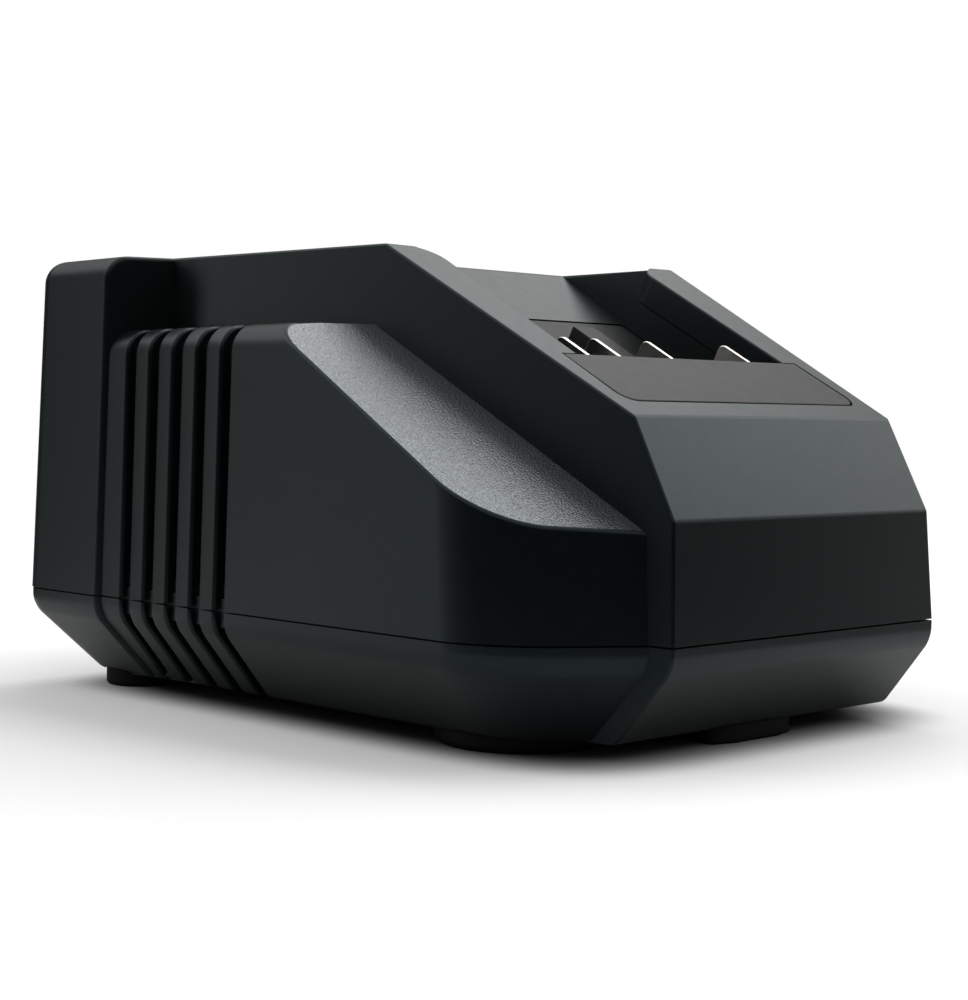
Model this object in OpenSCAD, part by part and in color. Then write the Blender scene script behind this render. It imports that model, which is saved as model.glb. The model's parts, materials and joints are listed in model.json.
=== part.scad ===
// Battery charger for a slide-on tool pack: two moulded shells, a sloped dock between
// two overhanging rails, four blade terminals, and the power supply and fan inside.
// Millimetres. Modules work from the front wall (y = 0) backwards; row() moves the
// finished piece so that the origin is under the middle of the charger, on the table.

/* [Case] */
// Width across the two wings at the seam
case_width = 116; // [114:1:118]
// Length from the front wall to the rear wall
case_length = 157; // [155:1:159]
// Height from the table to the flat top
case_height = 86; // [85:0.5:87]
// Height of the seam between the shells
seam_height = 19.5; // [19:0.5:20]
// Thickness of the moulded walls
wall = 2.4; // [2.2:0.1:2.6]
// Height of the underside above the table
base_height = 3; // [2.5:0.5:3.5]

/* [Dock] */
// Width of the dock's front wall at the seam
dock_width = 72; // [71:1:73]
// Slope of the dock, in degrees above level
dock_slope = 28.2; // [27.5:0.1:29]
// Distance of the slope's top edge behind the front wall
apex_y = 66; // [65:0.5:67]
// Depth of the recess below the slope
recess_depth = 13.9; // [13.5:0.1:14.5]
// Gap between the two rails
rail_gap = 56; // [55:1:57]
// Thickness of the rails
rail_thick = 6.1; // [5.8:0.1:6.5]
// Length of slope in front of the recess
sill_length = 21.7; // [21:0.1:22.5]

/* [Wings] */
// Height of the flat shoulders
shoulder_height = 71.6; // [71:0.2:72.4]
// Radius of the wings' front upright corners
wing_corner = 20; // [16:1:22]
// Pitch of the side vents
vent_pitch = 7.65; // [7.5:0.05:7.8]
// Width of each vent
vent_width = 2.7; // [2.4:0.1:3]

/* [Terminals] */
// Sideways place of each blade from the middle
terminal_x = [-22, -14, 0, 22]; // [-24:1:24]
// Thickness of a blade
blade_thick = 0.8; // [0.6:0.1:1]
// Length of blade that stands in the recess
blade_reach = 10.4; // [9:0.1:12]

/* [Fan] */
// Side of the square fan frame
fan_size = 40; // [38:1:40]
// Depth of the fan frame
fan_depth = 10; // [9:1:10]
// Number of fan blades
fan_blades = 7; // [5:1:9]

/* [Hidden] */
$fn = 48;

clear = 0.3;                       // gap between pieces that are dropped into each other
seam_gap = 0.3;                    // open line between the shells
break_height = 16;                 // the case turns in towards its base below this
chamfer_in = 10.4;                 // how far it turns in
dock_half = dock_width / 2;
dock_taper = 0.094;                // the dock widens by this much each side, per mm of length
dock_draft = 0.05;                 // lean of the dock's walls
side_draft = 0.03;                 // lean of the wings and of the rear block
facet_draft = 0.09;                // lean of the diagonal front faces of the wings
wing_half = case_width / 2;
facet_start = 4.4;
facet_end = 19.4;
block_half = wing_half + 1;
block_front = 128.5;
block_root = 123.5;                // the block's front face meets the dock here
front_top = 39.2;                  // top of the upright front wall
steep_top = 55.8;                  // top of the steep face above it
steep_y = apex_y - (case_height - steep_top) / tan(dock_slope);
shoulder_round = 5;
block_round = 4.5;
sill_y = -(apex_y - steep_y) / cos(dock_slope) + sill_length;   // recess front wall, on the slope
recess_front_half = 34.2;
recess_rear_half = 37.1;
recess_rear_y = 26;
bed_thick = 5;
bed_line_y = 2;
plate_thick = 1.6;
plate_half = 31.5;
plate_length = 16.5;
plate_land = 4.2;                  // the shell is this thick where the plate is let in
riser_half = 26;
riser_front = sill_y - 3.6;
blade_top = -1.4;                  // the blades stand up to this far below the slope
root_v = riser_front + 0.6;        // front of a blade's root, in the riser
tail_w = -26;                      // end of a blade's tail, under the deck
board_top = 13;
board_thick = 1.6;
floor_z = base_height + wall;
screw_spots = [[-26, 16], [26, 16], [-24, 140], [24, 140]];
board_spots = [[-36, 46], [36, 46], [-36, 118], [36, 118]];
front_foot = [31.9, 37];
front_foot_r = 15.2;
rear_foot = [42, 138];
rear_foot_r = 7;
foot_height = base_height + 0.8;     // each foot sits 0.8 deep in the base
fan_at = [48, 104.6, 38];
inlet_z = 34;
inlet_size = [26, 16, 17];
flange_y = 151.6;                  // front of the inlet's flange, behind the rear wall
flange_thick = 2;
ember = "#b03a2e";
charcoal = "#1b2021";

// ---- frames of reference ----
module row() { translate([0, -case_length / 2, 0]) children(); }
module on_slope() { translate([0, apex_y, case_height]) rotate([dock_slope, 0, 0]) children(); }
module both_sides() { for (side = [0, 1]) mirror([side, 0, 0]) children(); }
module block(low, high) { translate(low) cube(high - low); }

// ---- rings and lofts: the outer forms are stacks of rounded outlines ----
function unit(v) = v / norm(v);
function inward(v) = [-v.y, v.x];
// corners c moved in by d[i] from the edge that starts at corner i
function shrink(c, d) = let (n = len(c)) [for (i = [0:n - 1])
    let (na = inward(unit(c[i] - c[(i + n - 1) % n])), nb = inward(unit(c[(i + 1) % n] - c[i])),
        da = d[(i + n - 1) % n], db = d[i], k = na.x * nb.y - na.y * nb.x)
    c[i] + [da * nb.y - db * na.y, na.x * db - nb.x * da] / k];
// an outline with round corners, seg[i] steps in corner i, at height z
function ring(c, r, seg, z) = let (n = len(c)) [for (i = [0:n - 1])
    let (a = unit(c[(i + n - 1) % n] - c[i]), b = unit(c[(i + 1) % n] - c[i]),
        half = acos(a * b) / 2, mid = c[i] + unit(a + b) * r[i] / sin(half),
        from = c[i] + a * r[i] / tan(half) - mid, start = atan2(from.y, from.x))
    for (k = [0:seg[i]]) let (t = start + (180 - 2 * half) * k / seg[i])
        [mid.x + r[i] * cos(t), mid.y + r[i] * sin(t), z]];
module loft(rings) {
    n = len(rings[0]);
    m = len(rings);
    polyhedron(points = [for (r = rings) each r], faces = concat(
        [[for (i = [0:n - 1]) i]], [[for (i = [n - 1:-1:0]) (m - 1) * n + i]],
        [for (j = [0:m - 2]) for (i = [0:n - 1])
            [j * n + i, (j + 1) * n + i, (j + 1) * n + (i + 1) % n]],
        [for (j = [0:m - 2]) for (i = [0:n - 1])
            [j * n + i, (j + 1) * n + (i + 1) % n, j * n + (i + 1) % n]]), convexity = 4);
}
function fit_radius(r, least, d) = let (n = len(r)) [for (i = [0:n - 1])
    max(r[i] - max(d[i], d[(i + n - 1) % n]), least[i])];
module tower(c, r, least, seg, levels) {
    loft([for (l = levels) ring(shrink(c, l[1]), fit_radius(r, least, l[1]), seg, l[0])]);
}

// ---- the three bodies of the case, each with an inset of w all round ----
// heights and insets below the seam: floor, turn-in, seam
function base_levels(turn, w) = let (drop = break_height - base_height,
        slant = w * sqrt(1 + pow(chamfer_in / drop, 2)))
    [[base_height + w, [for (t = turn) t * (1 - w / drop) + (w > 0 ? slant : 0)]],
     [break_height + 0.2 * w, [for (t = turn) w]]];
module wing_body(w = 0) {
    c = [[-dock_half, facet_start], [dock_half, facet_start], [wing_half, facet_end],
        [wing_half, block_front + 4], [-wing_half, block_front + 4], [-wing_half, facet_end]];
    lean = [facet_draft, facet_draft, side_draft, 0, side_draft, facet_draft];
    up = shoulder_height - shoulder_round - seam_height;
    tower(c, [1, 1, wing_corner, 1, 1, wing_corner], [0.5, 0.5, 9, 0.5, 0.5, 9],
        [1, 1, 8, 1, 1, 8], concat(
        base_levels([9.5, 8.6, chamfer_in, 0, chamfer_in, 8.6], w),
        [[seam_height, [for (l = lean) w]]],
        [for (k = [0:5]) let (t = 18 * k)
            [shoulder_height - shoulder_round + (shoulder_round - w) * sin(t),
             [for (l = lean) l * up + shoulder_round - (shoulder_round - w) * cos(t)]]]));
}
module dock_body(w = 0) {
    rear = block_front + 3;
    c = [[-dock_half, 0], [dock_half, 0], [dock_half + dock_taper * rear, rear],
        [-dock_half - dock_taper * rear, rear]];
    up = (case_height - w - seam_height) * dock_draft;
    tower(c, [0.8, 0.8, 1, 1], [0.4, 0.4, 0.5, 0.5], [2, 2, 1, 1], concat(
        base_levels([10.8, 0, 0, 0], w), [[seam_height, [w, w, 0, w]]],
        [[case_height - w, [w + up, w + up, 0, w + up]]]));
}
module rear_block(w = 0) {
    root = dock_half + dock_taper * block_root - 3.4;
    c = [[-root, block_root], [root, block_root], [block_half, block_front],
        [block_half, case_length], [-block_half, case_length], [-block_half, block_front]];
    lean = [0, 0, side_draft, side_draft, side_draft, 0];
    round_in = [0, 0, 1, 1, 1, 0];
    up = case_height - block_round - seam_height;
    tower(c, [1, 1, 3, 6.5, 6.5, 3], [0.5, 0.5, 1, 4, 4, 1], [1, 1, 2, 5, 5, 2], concat(
        base_levels([0, 0, chamfer_in, 10, chamfer_in, 0], w),
        [[seam_height, [for (l = lean) w]]],
        [for (k = [0:4]) let (t = 22.5 * k)
            [case_height - block_round + (block_round - w) * sin(t),
             [for (i = [0:5]) lean[i] * up + w
                + round_in[i] * (block_round - w) * (1 - cos(t))]]]));
}
// the space above the front, steep and sloped faces, moved in by w
module dock_cut(w = 0) {
    on_slope() translate([-80, -160, -w]) cube([160, 160 + w * tan(dock_slope / 2), 60]);
    steep = atan((steep_top - front_top) / (steep_y - (front_top - seam_height) * dock_draft));
    translate([0, steep_y, steep_top]) rotate([steep, 0, 0])
        translate([-80, -160, -w]) cube([160, 160 + w, 60]);
}
// the space above the wings' textured slopes, moved in by w
module wing_cut(w = 0) {
    rise = 0.58;
    fall = 0.334;
    normal = [-fall, -rise, 1];
    both_sides() mirror([1, 0, 0]) translate([-47.7, 50, 58.7])
        rotate(a = acos(1 / norm(normal)), v = cross([0, 0, 1], normal))
            translate([-150, -150, -w]) cube([300, 300, 60]);
}
module case_form(w = 0) {
    difference() {
        union() {
            difference() { wing_body(w); wing_cut(w); }
            dock_body(w);
            rear_block(w);
        }
        dock_cut(w);
    }
}

// ---- the recess, in the slope's own frame ----
module recess_plan(grow = 0) {
    polygon([[-recess_front_half - grow, sill_y - grow], [recess_front_half + grow, sill_y - grow],
        [recess_rear_half + grow, recess_rear_y + grow],
        [-recess_rear_half - grow, recess_rear_y + grow]]);
}
module rail_gap_plan() {
    end_round = 5.5;
    half = rail_gap / 2;
    translate([-half, sill_y]) square([rail_gap, -sill_y + 1]);
    both_sides() difference() {
        translate([half - 0.1, -end_round]) square([end_round + 0.1, end_round + 0.5]);
        translate([half + end_round, -end_round]) circle(end_round);
    }
}
module recess_space() {
    on_slope() {
        translate([0, 0, -recess_depth]) linear_extrude(recess_depth - rail_thick) recess_plan();
        translate([0, 0, -recess_depth]) linear_extrude(recess_depth + 20) rail_gap_plan();
        translate([0, 0, -recess_depth]) linear_extrude(recess_depth + 20) intersection() {
            recess_plan();
            translate([-60, 0]) square([120, 60]);
        }
    }
}
module recess_walls() {
    on_slope() translate([0, 0, -recess_depth - bed_thick])
        linear_extrude(recess_depth + bed_thick + 20) recess_plan(2.2);
}
module bed_window(gap = 0) {
    on_slope() {
        block([-33 - gap, sill_y - 3, -recess_depth - bed_thick - 0.5],
            [33 + gap, bed_line_y + gap, -recess_depth + 0.5]);
        block([-riser_half - gap, riser_front - gap, -recess_depth - bed_thick - 0.5],
            [riser_half + gap, sill_y + 1, 0.5 - plate_thick]);
    }
}
module plate_plan(gap = 0) {
    r = 3;
    front = sill_y - plate_length;
    difference() {
        translate([-plate_half - gap, front - gap])
            square([2 * (plate_half + gap), plate_length + gap]);
        both_sides() translate([plate_half + gap - r, front - gap + r]) difference() {
            translate([0, -r - 1]) square([r + 1, r + 1]);
            circle(r);
        }
    }
}

// ---- vents ----
module vent_slabs(z0, z1, x0) {
    both_sides() for (k = [0:4])
        block([x0, 88 + k * vent_pitch, z0], [wing_half + 4, 88 + k * vent_pitch + vent_width, z1]);
}
// the grooves end at the dock's wall
module vent_grooves(z0, z1) {
    difference() {
        vent_slabs(z0, z1, 40);
        case_form(1.7);
        dock_body();
    }
}

// ---- shells ----
module upper_housing() {
    low = seam_height + seam_gap / 2;
    color(charcoal) row() difference() {
        union() {
            difference() {
                intersection() {
                    case_form();
                    block([-70, -5, low], [70, case_length + 5, case_height + 5]);
                }
                difference() {
                    case_form(wall);
                    recess_walls();
                    on_slope() block([-plate_half - 2.5, sill_y - plate_length - 2.5, -plate_land],
                        [plate_half + 2.5, sill_y, 5]);
                }
                // the rebate that the lower shell's tongue enters
                intersection() {
                    case_form(1.15);
                    block([-70, -5, low - 1], [70, case_length + 5, seam_height + 2.5]);
                }
            }
            for (p = screw_spots) difference() {
                translate([p.x, p.y, seam_height]) cylinder(h = case_height, r = 3.8);
                difference() {
                    translate([0, 0, -1]) block([-70, -5, 0], [70, case_length + 5, 200]);
                    case_form(wall / 2);
                }
            }
            on_slope() both_sides() translate([11.5, sill_y - 10, -11.2]) cylinder(h = 8, r = 1.4);
            // ribs over the fan, and slots that hold the inlet's flange against the rear wall
            for (y = [100, 107]) block([44, y, fan_at.z + fan_size / 2 + clear], [51, y + 2, 70]);
            both_sides() {
                block([16.2, 148.8, 24], [18, case_length - 2, 45]);
                block([13.6, 148.8, 24], [18, flange_y - clear, 45]);
            }
        }
        recess_space();
        bed_window(clear);
        on_slope() translate([0, 0, -plate_thick]) linear_extrude(10) plate_plan(0.35);
        on_slope() block([-8.3, sill_y - 13.3, -8], [8.3, sill_y - 6.7, 1]);
        for (p = screw_spots) translate([p.x, p.y, seam_height - 1]) cylinder(h = 15, r = 1.55);
        on_slope() for (x = [-22, 22]) translate([x, 8, -recess_depth - bed_thick - 1])
            cylinder(h = 4.5, r = 1.3);
        vent_grooves(seam_height - 1, shoulder_height + 1);
        vent_slabs(24, 64, 50);
        block([-inlet_size.x / 2 - clear, case_length - 8, inlet_z - inlet_size.z / 2 - clear],
            [inlet_size.x / 2 + clear, case_length + 1, inlet_z + inlet_size.z / 2 + clear]);
    }
}

module lower_housing() {
    high = seam_height - seam_gap / 2;
    color(charcoal) row() difference() {
        union() {
            difference() {
                intersection() {
                    case_form();
                    block([-70, -5, 0], [70, case_length + 5, high]);
                }
                case_form(wall);
            }
            // the tongue inside the seam
            difference() {
                intersection() {
                    case_form(1.35);
                    block([-70, -5, seam_height - 3], [70, case_length + 5, seam_height + 2.2]);
                }
                case_form(wall);
            }
            for (p = screw_spots) translate([p.x, p.y, floor_z - 1])
                cylinder(h = seam_height - floor_z + 1, r = 4.6);
            for (p = board_spots) translate([p.x, p.y, floor_z - 1])
                cylinder(h = board_top - board_thick - floor_z + 1, r = 3);
            for (y = [90, 117]) block([43.2, y, floor_z - 1], [47.4, y + 3, fan_at.z - fan_size / 2]);
        }
        for (p = screw_spots) translate([p.x, p.y, -1]) {
            cylinder(h = 40, r = 1.8);
            cylinder(h = 9, r = 3.3);
        }
        for (p = board_spots) translate([p.x, p.y, floor_z + 0.6]) cylinder(h = 10, r = 1.25);
        both_sides() translate([front_foot.x, front_foot.y, 0])
            cylinder(h = foot_height, r = front_foot_r + clear);
        both_sides() translate([rear_foot.x, rear_foot.y, 0])
            cylinder(h = foot_height, r = rear_foot_r + clear);
        foot_bar(-1, foot_height, clear);
        block([-24.3, 74.7, 0], [24.3, 113.3, base_height + 0.4]);
        vent_grooves(base_height - 1, seam_height + 1);
        vent_slabs(7, 14, 44);
    }
}

// ---- dock pieces ----
module cover_plate() {
    color("#22282a") row() on_slope() translate([0, 0, -plate_thick])
        linear_extrude(plate_thick) plate_plan();
}
module contact_block() {
    deck = -recess_depth - bed_thick;
    color("#15191a") row() difference() {
        on_slope() union() {
            block([-33 + clear, sill_y + 0.2, deck], [33 - clear, bed_line_y - clear, -recess_depth]);
            block([-34.6, sill_y + 0.2, deck - 2], [34.6, 12, deck]);
            block([-riser_half, riser_front, deck], [riser_half, sill_y, -plate_thick]);
            block([-riser_half, riser_front + 1, deck], [riser_half, sill_y + 1, -recess_depth]);
            // the keying rib that only the right pack clears
            block([10, sill_y + 7, -recess_depth - 1], [16, -5.7, -recess_depth + 2.6]);
        }
        on_slope() for (x = [-22, 22]) translate([x, 8, deck - 3]) cylinder(h = 10, r = 1.6);
        on_slope() for (x = terminal_x) blade_form(x, 0.1);
    }
}
// a blade: the part in the recess, the root in the riser and the tail below the deck
module blade_form(x, gap) {
    half = blade_thick / 2 + gap;
    tip = sill_y + blade_reach;
    low = blade_top - 6;
    r = 1.2;
    module bar(from, to) { translate(from - [gap, gap]) square(to - from + 2 * [gap, gap]); }
    translate([x - half, 0, 0]) rotate([90, 0, 90]) linear_extrude(2 * half) {
        translate([tip - r, blade_top - r]) circle(r + gap);
        bar([sill_y + 0.2, low], [tip - r, blade_top]);
        bar([tip - r - 1, low], [tip, blade_top - r]);
        bar([root_v, low], [sill_y + 1, blade_top - 0.7]);
        bar([root_v, tail_w], [root_v + 2.6, low + 1]);
    }
}
module terminal(i) { color("#c9b37a") row() on_slope() blade_form(terminal_x[i], 0); }
module positive_terminal() { terminal(0); }
module thermistor_terminal() { terminal(1); }
module identity_terminal() { terminal(2); }
module negative_terminal() { terminal(3); }
module contact_screws() {
    seat = -recess_depth - bed_thick - 2;
    color("silver") row() on_slope() for (x = [-22, 22]) translate([x, 8, seat]) {
        cylinder(h = 5, r = 1.25);
        translate([0, 0, -1.8]) difference() {
            cylinder(h = 1.8, r = 2.6);
            cross_slot(1.8);
        }
    }
}
module cross_slot(width) {
    for (a = [0, 90]) rotate(a) translate([-width, -0.35, -0.5]) cube([2 * width, 0.7, 1.4]);
}

// ---- indicator under the plate ----
module light_guide() {
    color("#dfe7e8") row() on_slope() {
        block([-8, sill_y - 13, -6.8], [8, sill_y - 7, -plate_thick]);
        block([-9.5, sill_y - 13, -6.8], [9.5, sill_y - 7, -plate_land]);
    }
}
module status_leds() {
    color("#d9433a") row() on_slope() for (x = [-4.5, 4.5]) translate([x, sill_y - 10, -11.2]) {
        cylinder(h = 1, r = 1.9);
        cylinder(h = 2.7, r = 1.5);
        translate([0, 0, 2.7]) sphere(1.5);
    }
}
module indicator_board() {
    color("#2c6b45") row() on_slope()
        block([-13, sill_y - 15, -12.4], [13, sill_y - 5, -11.2]);
}
// ---- wires: eight-sided tubes swept through named points ----
function dock_point(x, v, w) = [x, apex_y + v * cos(dock_slope) - w * sin(dock_slope),
    case_height + v * sin(dock_slope) + w * cos(dock_slope)];
module wire(p, r, across = [1, 0, 0]) {
    n = len(p);
    loft([for (i = [0:n - 1])
        let (d = unit(unit(p[min(i + 1, n - 1)] - p[min(i, n - 2)])
                + unit(p[max(i, 1)] - p[max(i - 1, 0)])),
            u = unit(cross(d, across)), v = cross(d, u))
        [for (k = [0:7]) p[i] + r * (cos(45 * k) * u + sin(45 * k) * v)]]);
}
module indicator_lead() {
    color("#8a8f93") row() for (x = [-2.4, 0, 2.4])
        wire([dock_point(x, sill_y - 8, -12.4), dock_point(x, sill_y - 8, -15), [x, 30.5, 44],
            [x, 31, 20], [x, 31, board_top]], 0.8);
}
// a lead from a terminal's tail down to the board at (x, y)
module terminal_lead(i, x, y, r) {
    wire([dock_point(terminal_x[i], root_v + 1.3, tail_w),
        dock_point(terminal_x[i], root_v + 1.3, tail_w - 3), [(x + terminal_x[i]) / 2, y + 0.5, 30],
        [x, y, 20], [x, y, board_top]], r);
}
module signal_leads() {
    color("#c7a032") row() { terminal_lead(1, -12, 38, 0.9); terminal_lead(2, -1, 38, 0.9); }
}
module positive_lead() { color(ember) row() terminal_lead(0, -22, 39, 1.3); }
module negative_lead() { color("#202224") row() terminal_lead(3, 20, 39, 1.3); }

// ---- board and what stands on it ----
module circuit_board() {
    color("#1f5b3a") row() difference() {
        translate([0, 0, board_top - board_thick]) linear_extrude(board_thick) polygon([
            [-26, 24], [26, 24], [41, 38], [41, 124], [-41, 124], [-41, 38]]);
        for (p = board_spots) translate([p.x, p.y, 0]) cylinder(h = 30, r = 1.5);
    }
}
module board_screws() {
    color("silver") row() for (p = board_spots) translate([p.x, p.y, board_top]) {
        difference() {
            cylinder(h = 1.8, r = 2.5);
            translate([0, 0, 1.4]) cross_slot(1.8);
        }
        translate([0, 0, -6.4]) cylinder(h = 6.5, r = 1.2);
    }
}
core_z = board_top + 2.5;
module transformer_core() {
    color("#3a3d40") row() translate([0, 100, core_z]) difference() {
        translate([-17, -6.5, 0]) cube([34, 13, 28]);
        both_sides() translate([4.2, -7, 4.5]) cube([8.6, 14, 19]);
    }
}
module transformer_winding() {
    color("#b5852f") row() translate([0, 100, core_z + 4.8]) difference() {
        block([-12.4, -13, 0], [12.4, 13, 18.4]);
        block([-4.5, -6.8, -1], [4.5, 6.8, 20]);
        // the tape lies in a shallow band between the two cheeks
        for (y = [-14, 12.2]) block([-13, y, 2], [13, y + 1.8, 16.4]);
    }
}
module transformer_bobbin() {
    color("#191b1d") row() {
        block([-15, 85.5, board_top], [15, 92.5, board_top + 2.2]);
        block([-15, 107.5, board_top], [15, 114.5, board_top + 2.2]);
        block([-12, 87.2, board_top + 2], [12, 92.5, core_z + 4.6]);
        block([-12, 107.5, board_top + 2], [12, 112.8, core_z + 4.6]);
    }
}
module can(x, y, r, h) {
    translate([x, y, board_top]) difference() {
        cylinder(h = h, r = r);
        translate([0, 0, h - 0.6]) for (a = [0, 90]) rotate(a)
            translate([-r * 0.7, -0.4, 0]) cube([r * 1.4, 0.8, 1]);
        translate([0, 0, 2.2]) rotate_extrude() translate([r + 0.3, 0]) circle(0.9);
    }
}
module bulk_capacitor() { color("#2a3f63") row() can(-16, 69, 11, 31); }
module output_capacitors() { color("#20242a") row() { can(8, 52, 5, 20); can(8, 66, 5, 20); } }
module mains_choke() {
    color("#a86a2b") row() translate([29, 111, board_top + 12.6]) rotate([90, 0, 0]) {
        rotate_extrude() translate([8, 0]) circle(4.4);
        translate([-9, -12.6, -4]) cube([18, 3.4, 8]);
    }
}
module filter_capacitor() {
    color("#c8b13a") row() block([18.5, 91.5, board_top], [35.5, 99.5, board_top + 13]);
}
module bridge_rectifier() {
    color("#141618") row() {
        block([-28, 118, board_top + 2.5], [-8, 121.6, board_top + 18]);
        for (k = [0:3]) block([-26.2 + 5.08 * k, 119.3, board_top], [-25 + 5.08 * k, 120.3,
            board_top + 2.6]);
    }
}
module varistor() {
    color("#2f6fae") row() {
        translate([34, 105.6, board_top + 8]) rotate([90, 0, 0]) cylinder(h = 4, r = 6);
        for (x = [31, 37]) translate([x, 103.6, board_top]) cylinder(h = 5, r = 0.4);
    }
}
module mains_fuse() {
    color("#d8dcd8") row() translate([34, 70, board_top + 4.5]) rotate([-90, 0, 0])
        cylinder(h = 20, r = 2.6);
}
module fuse_clips() {
    color("silver") row() for (y = [71, 85]) difference() {
        block([30.6, y, board_top], [37.4, y + 4, board_top + 7.5]);
        translate([34, y - 1, board_top + 4.5]) rotate([-90, 0, 0]) cylinder(h = 6, r = 2.7);
        block([31.6, y - 1, board_top + 4.5], [36.4, y + 5, board_top + 8]);
    }
}
// a plate with fins on its outer side
module heat_sink(y0, y1, z1, thick, fin, count) {
    block([0, y0, board_top], [thick, y1, z1]);
    pitch = (y1 - y0 - 1.4) / (count - 1);
    for (k = [0:count - 1])
        block([-fin, y0 + k * pitch, board_top + 4], [0.1, y0 + k * pitch + 1.4, z1]);
}
module switch_heat_sink() {
    color("#b9bec2") row() translate([-34, 0, 0]) heat_sink(72, 112, 50, 2.5, 5, 9);
}
module output_heat_sink() {
    color("#b9bec2") row() translate([27, 0, 0]) mirror([1, 0, 0])
        heat_sink(44, 68, 40, 2.5, 4, 6);
}
module power_tab(x, y, face) {
    translate([x, y, board_top]) mirror([face, 0, 0]) {
        block([0, -5, 8], [1.3, 5, 24]);
        block([1.2, -5, 8], [4.6, 5, 17]);
        for (k = [-1:1]) block([2.2, k * 2.54 - 0.4, 0], [2.8, k * 2.54 + 0.4, 8.2]);
    }
}
module switch_transistor() { color("#17191b") row() power_tab(-31.5, 96, 0); }
module output_rectifier() { color("#17191b") row() power_tab(24.5, 57, 1); }
module optocouplers() {
    color("#e4e6e2") row() for (x = [3, 12])
        block([x - 2.3, 77.5, board_top], [x + 2.3, 84, board_top + 3.5]);
}
module control_chip() {
    color("#101214") row() {
        block([-16, 42, board_top + 0.2], [-6, 52, board_top + 1.6]);
        for (k = [0:6]) block([-17.4, 42.9 + k * 1.27, board_top], [-4.6, 43.5 + k * 1.27,
            board_top + 0.6]);
    }
}

// ---- fan: its axis lies across the charger, behind the right-hand vents ----
module on_fan() { translate([fan_at.x - fan_depth / 2, fan_at.y, fan_at.z]) rotate([90, 0, 90]) children(); }
fan_bore = fan_size / 2 - 1.2;
module fan_frame() {
    half = fan_size / 2;
    color("#1d2022") row() on_fan() difference() {
        union() {
            difference() {
                block([-half, -half, 0], [half, half, fan_depth]);
                translate([0, 0, -1]) cylinder(h = fan_depth + 2, r = fan_bore);
            }
            for (a = [45:90:315]) rotate(a) block([5, -1.2, 0], [fan_bore + 1, 1.2, 1.6]);
            cylinder(h = 1.6, r = 8.4);
            cylinder(h = 5.4, r = 2.6);
        }
        translate([0, 0, 0.8]) cylinder(h = 10, r = 1.05);
        for (x = [-16, 16]) for (y = [-16, 16]) translate([x, y, -1])
            cylinder(h = fan_depth + 2, r = 1.7);
    }
}
module fan_rotor() {
    reach = fan_bore - 0.8;
    color("#33383b") row() on_fan() {
        difference() {
            translate([0, 0, 2.4]) cylinder(h = 6.6, r = 8.2);
            translate([0, 0, 1]) cylinder(h = 6.4, r = 7);
        }
        translate([0, 0, 1.2]) cylinder(h = 7, r = 1);
        intersection() {
            translate([0, 0, 2.4]) difference() {
                cylinder(h = 6.4, r = reach);
                translate([0, 0, -1]) cylinder(h = 9, r = 7.9);
            }
            for (k = [0:fan_blades - 1]) rotate(k * 360 / fan_blades) translate([7.5, 0, 5.6])
                rotate([38, 0, 0]) translate([0, -6, -0.6]) cube([reach, 12, 1.2]);
        }
    }
}
module fan_lead() {
    start = [fan_at.x - fan_depth / 2, 92, 24];
    color("#7f2a24") row()
        wire([start, start - [1.5, 0, 0], [39.5, 92, 20], [39.5, 92, board_top]], 0.8, [0, 1, 0]);
}

// ---- mains inlet in the rear wall, for a two-pole lead ----
pin_pitch = 8.6;
inlet_face = case_length - 1;
module inlet_socket() {
    half = pin_pitch / 2;
    back = inlet_face - flange_y;
    color("#121516") row() translate([0, inlet_face, inlet_z]) rotate([90, 0, 0]) difference() {
        union() {
            block([-inlet_size.x / 2, -inlet_size.z / 2, 0],
                [inlet_size.x / 2, inlet_size.z / 2, inlet_size.y]);
            block([-15.9, -10.5, back - flange_thick], [15.9, 10.5, back]);
        }
        for (x = [-half, half]) translate([x, 0, -1]) cylinder(h = 13, r = 4.5);
        block([-half, -4.5, -1], [half, 4.5, 12]);
        for (x = [-half, half]) translate([x, 0, 0]) cylinder(h = 30, r = 1.25);
    }
}
module inlet_pins() {
    color("#c9cccf") row() for (x = [-pin_pitch / 2, pin_pitch / 2])
        translate([x, inlet_face - 2, inlet_z]) rotate([90, 0, 0]) cylinder(h = 18, r = 1.2);
}
module mains_leads() {
    tail = inlet_face - 20;
    half = pin_pitch / 2;
    color("#5c4a3d") row() {
        for (side = [[half, 5], [-half, -3]])
            wire([[side[0], tail, inlet_z], [side[0], tail - 3, inlet_z], [side[1], 127, 27],
                [side[1], 121, 19], [side[1], 121, board_top]], 1.1);
    }
}

// ---- fasteners, feet and plate under the case ----
module housing_screws() {
    color("silver") row() for (p = screw_spots) translate([p.x, p.y, 0]) {
        translate([0, 0, 8]) cylinder(h = 20, r = 1.5);
        translate([0, 0, 5.8]) difference() {
            cylinder(h = 2.2, r = 2.9);
            cross_slot(2);
        }
    }
}
module foot_disc(r, rim) {
    cylinder(h = foot_height, r = r - rim);
    translate([0, 0, rim]) cylinder(h = foot_height - rim, r = r);
    translate([0, 0, rim]) rotate_extrude() translate([r - rim, 0]) circle(rim);
}
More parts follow.
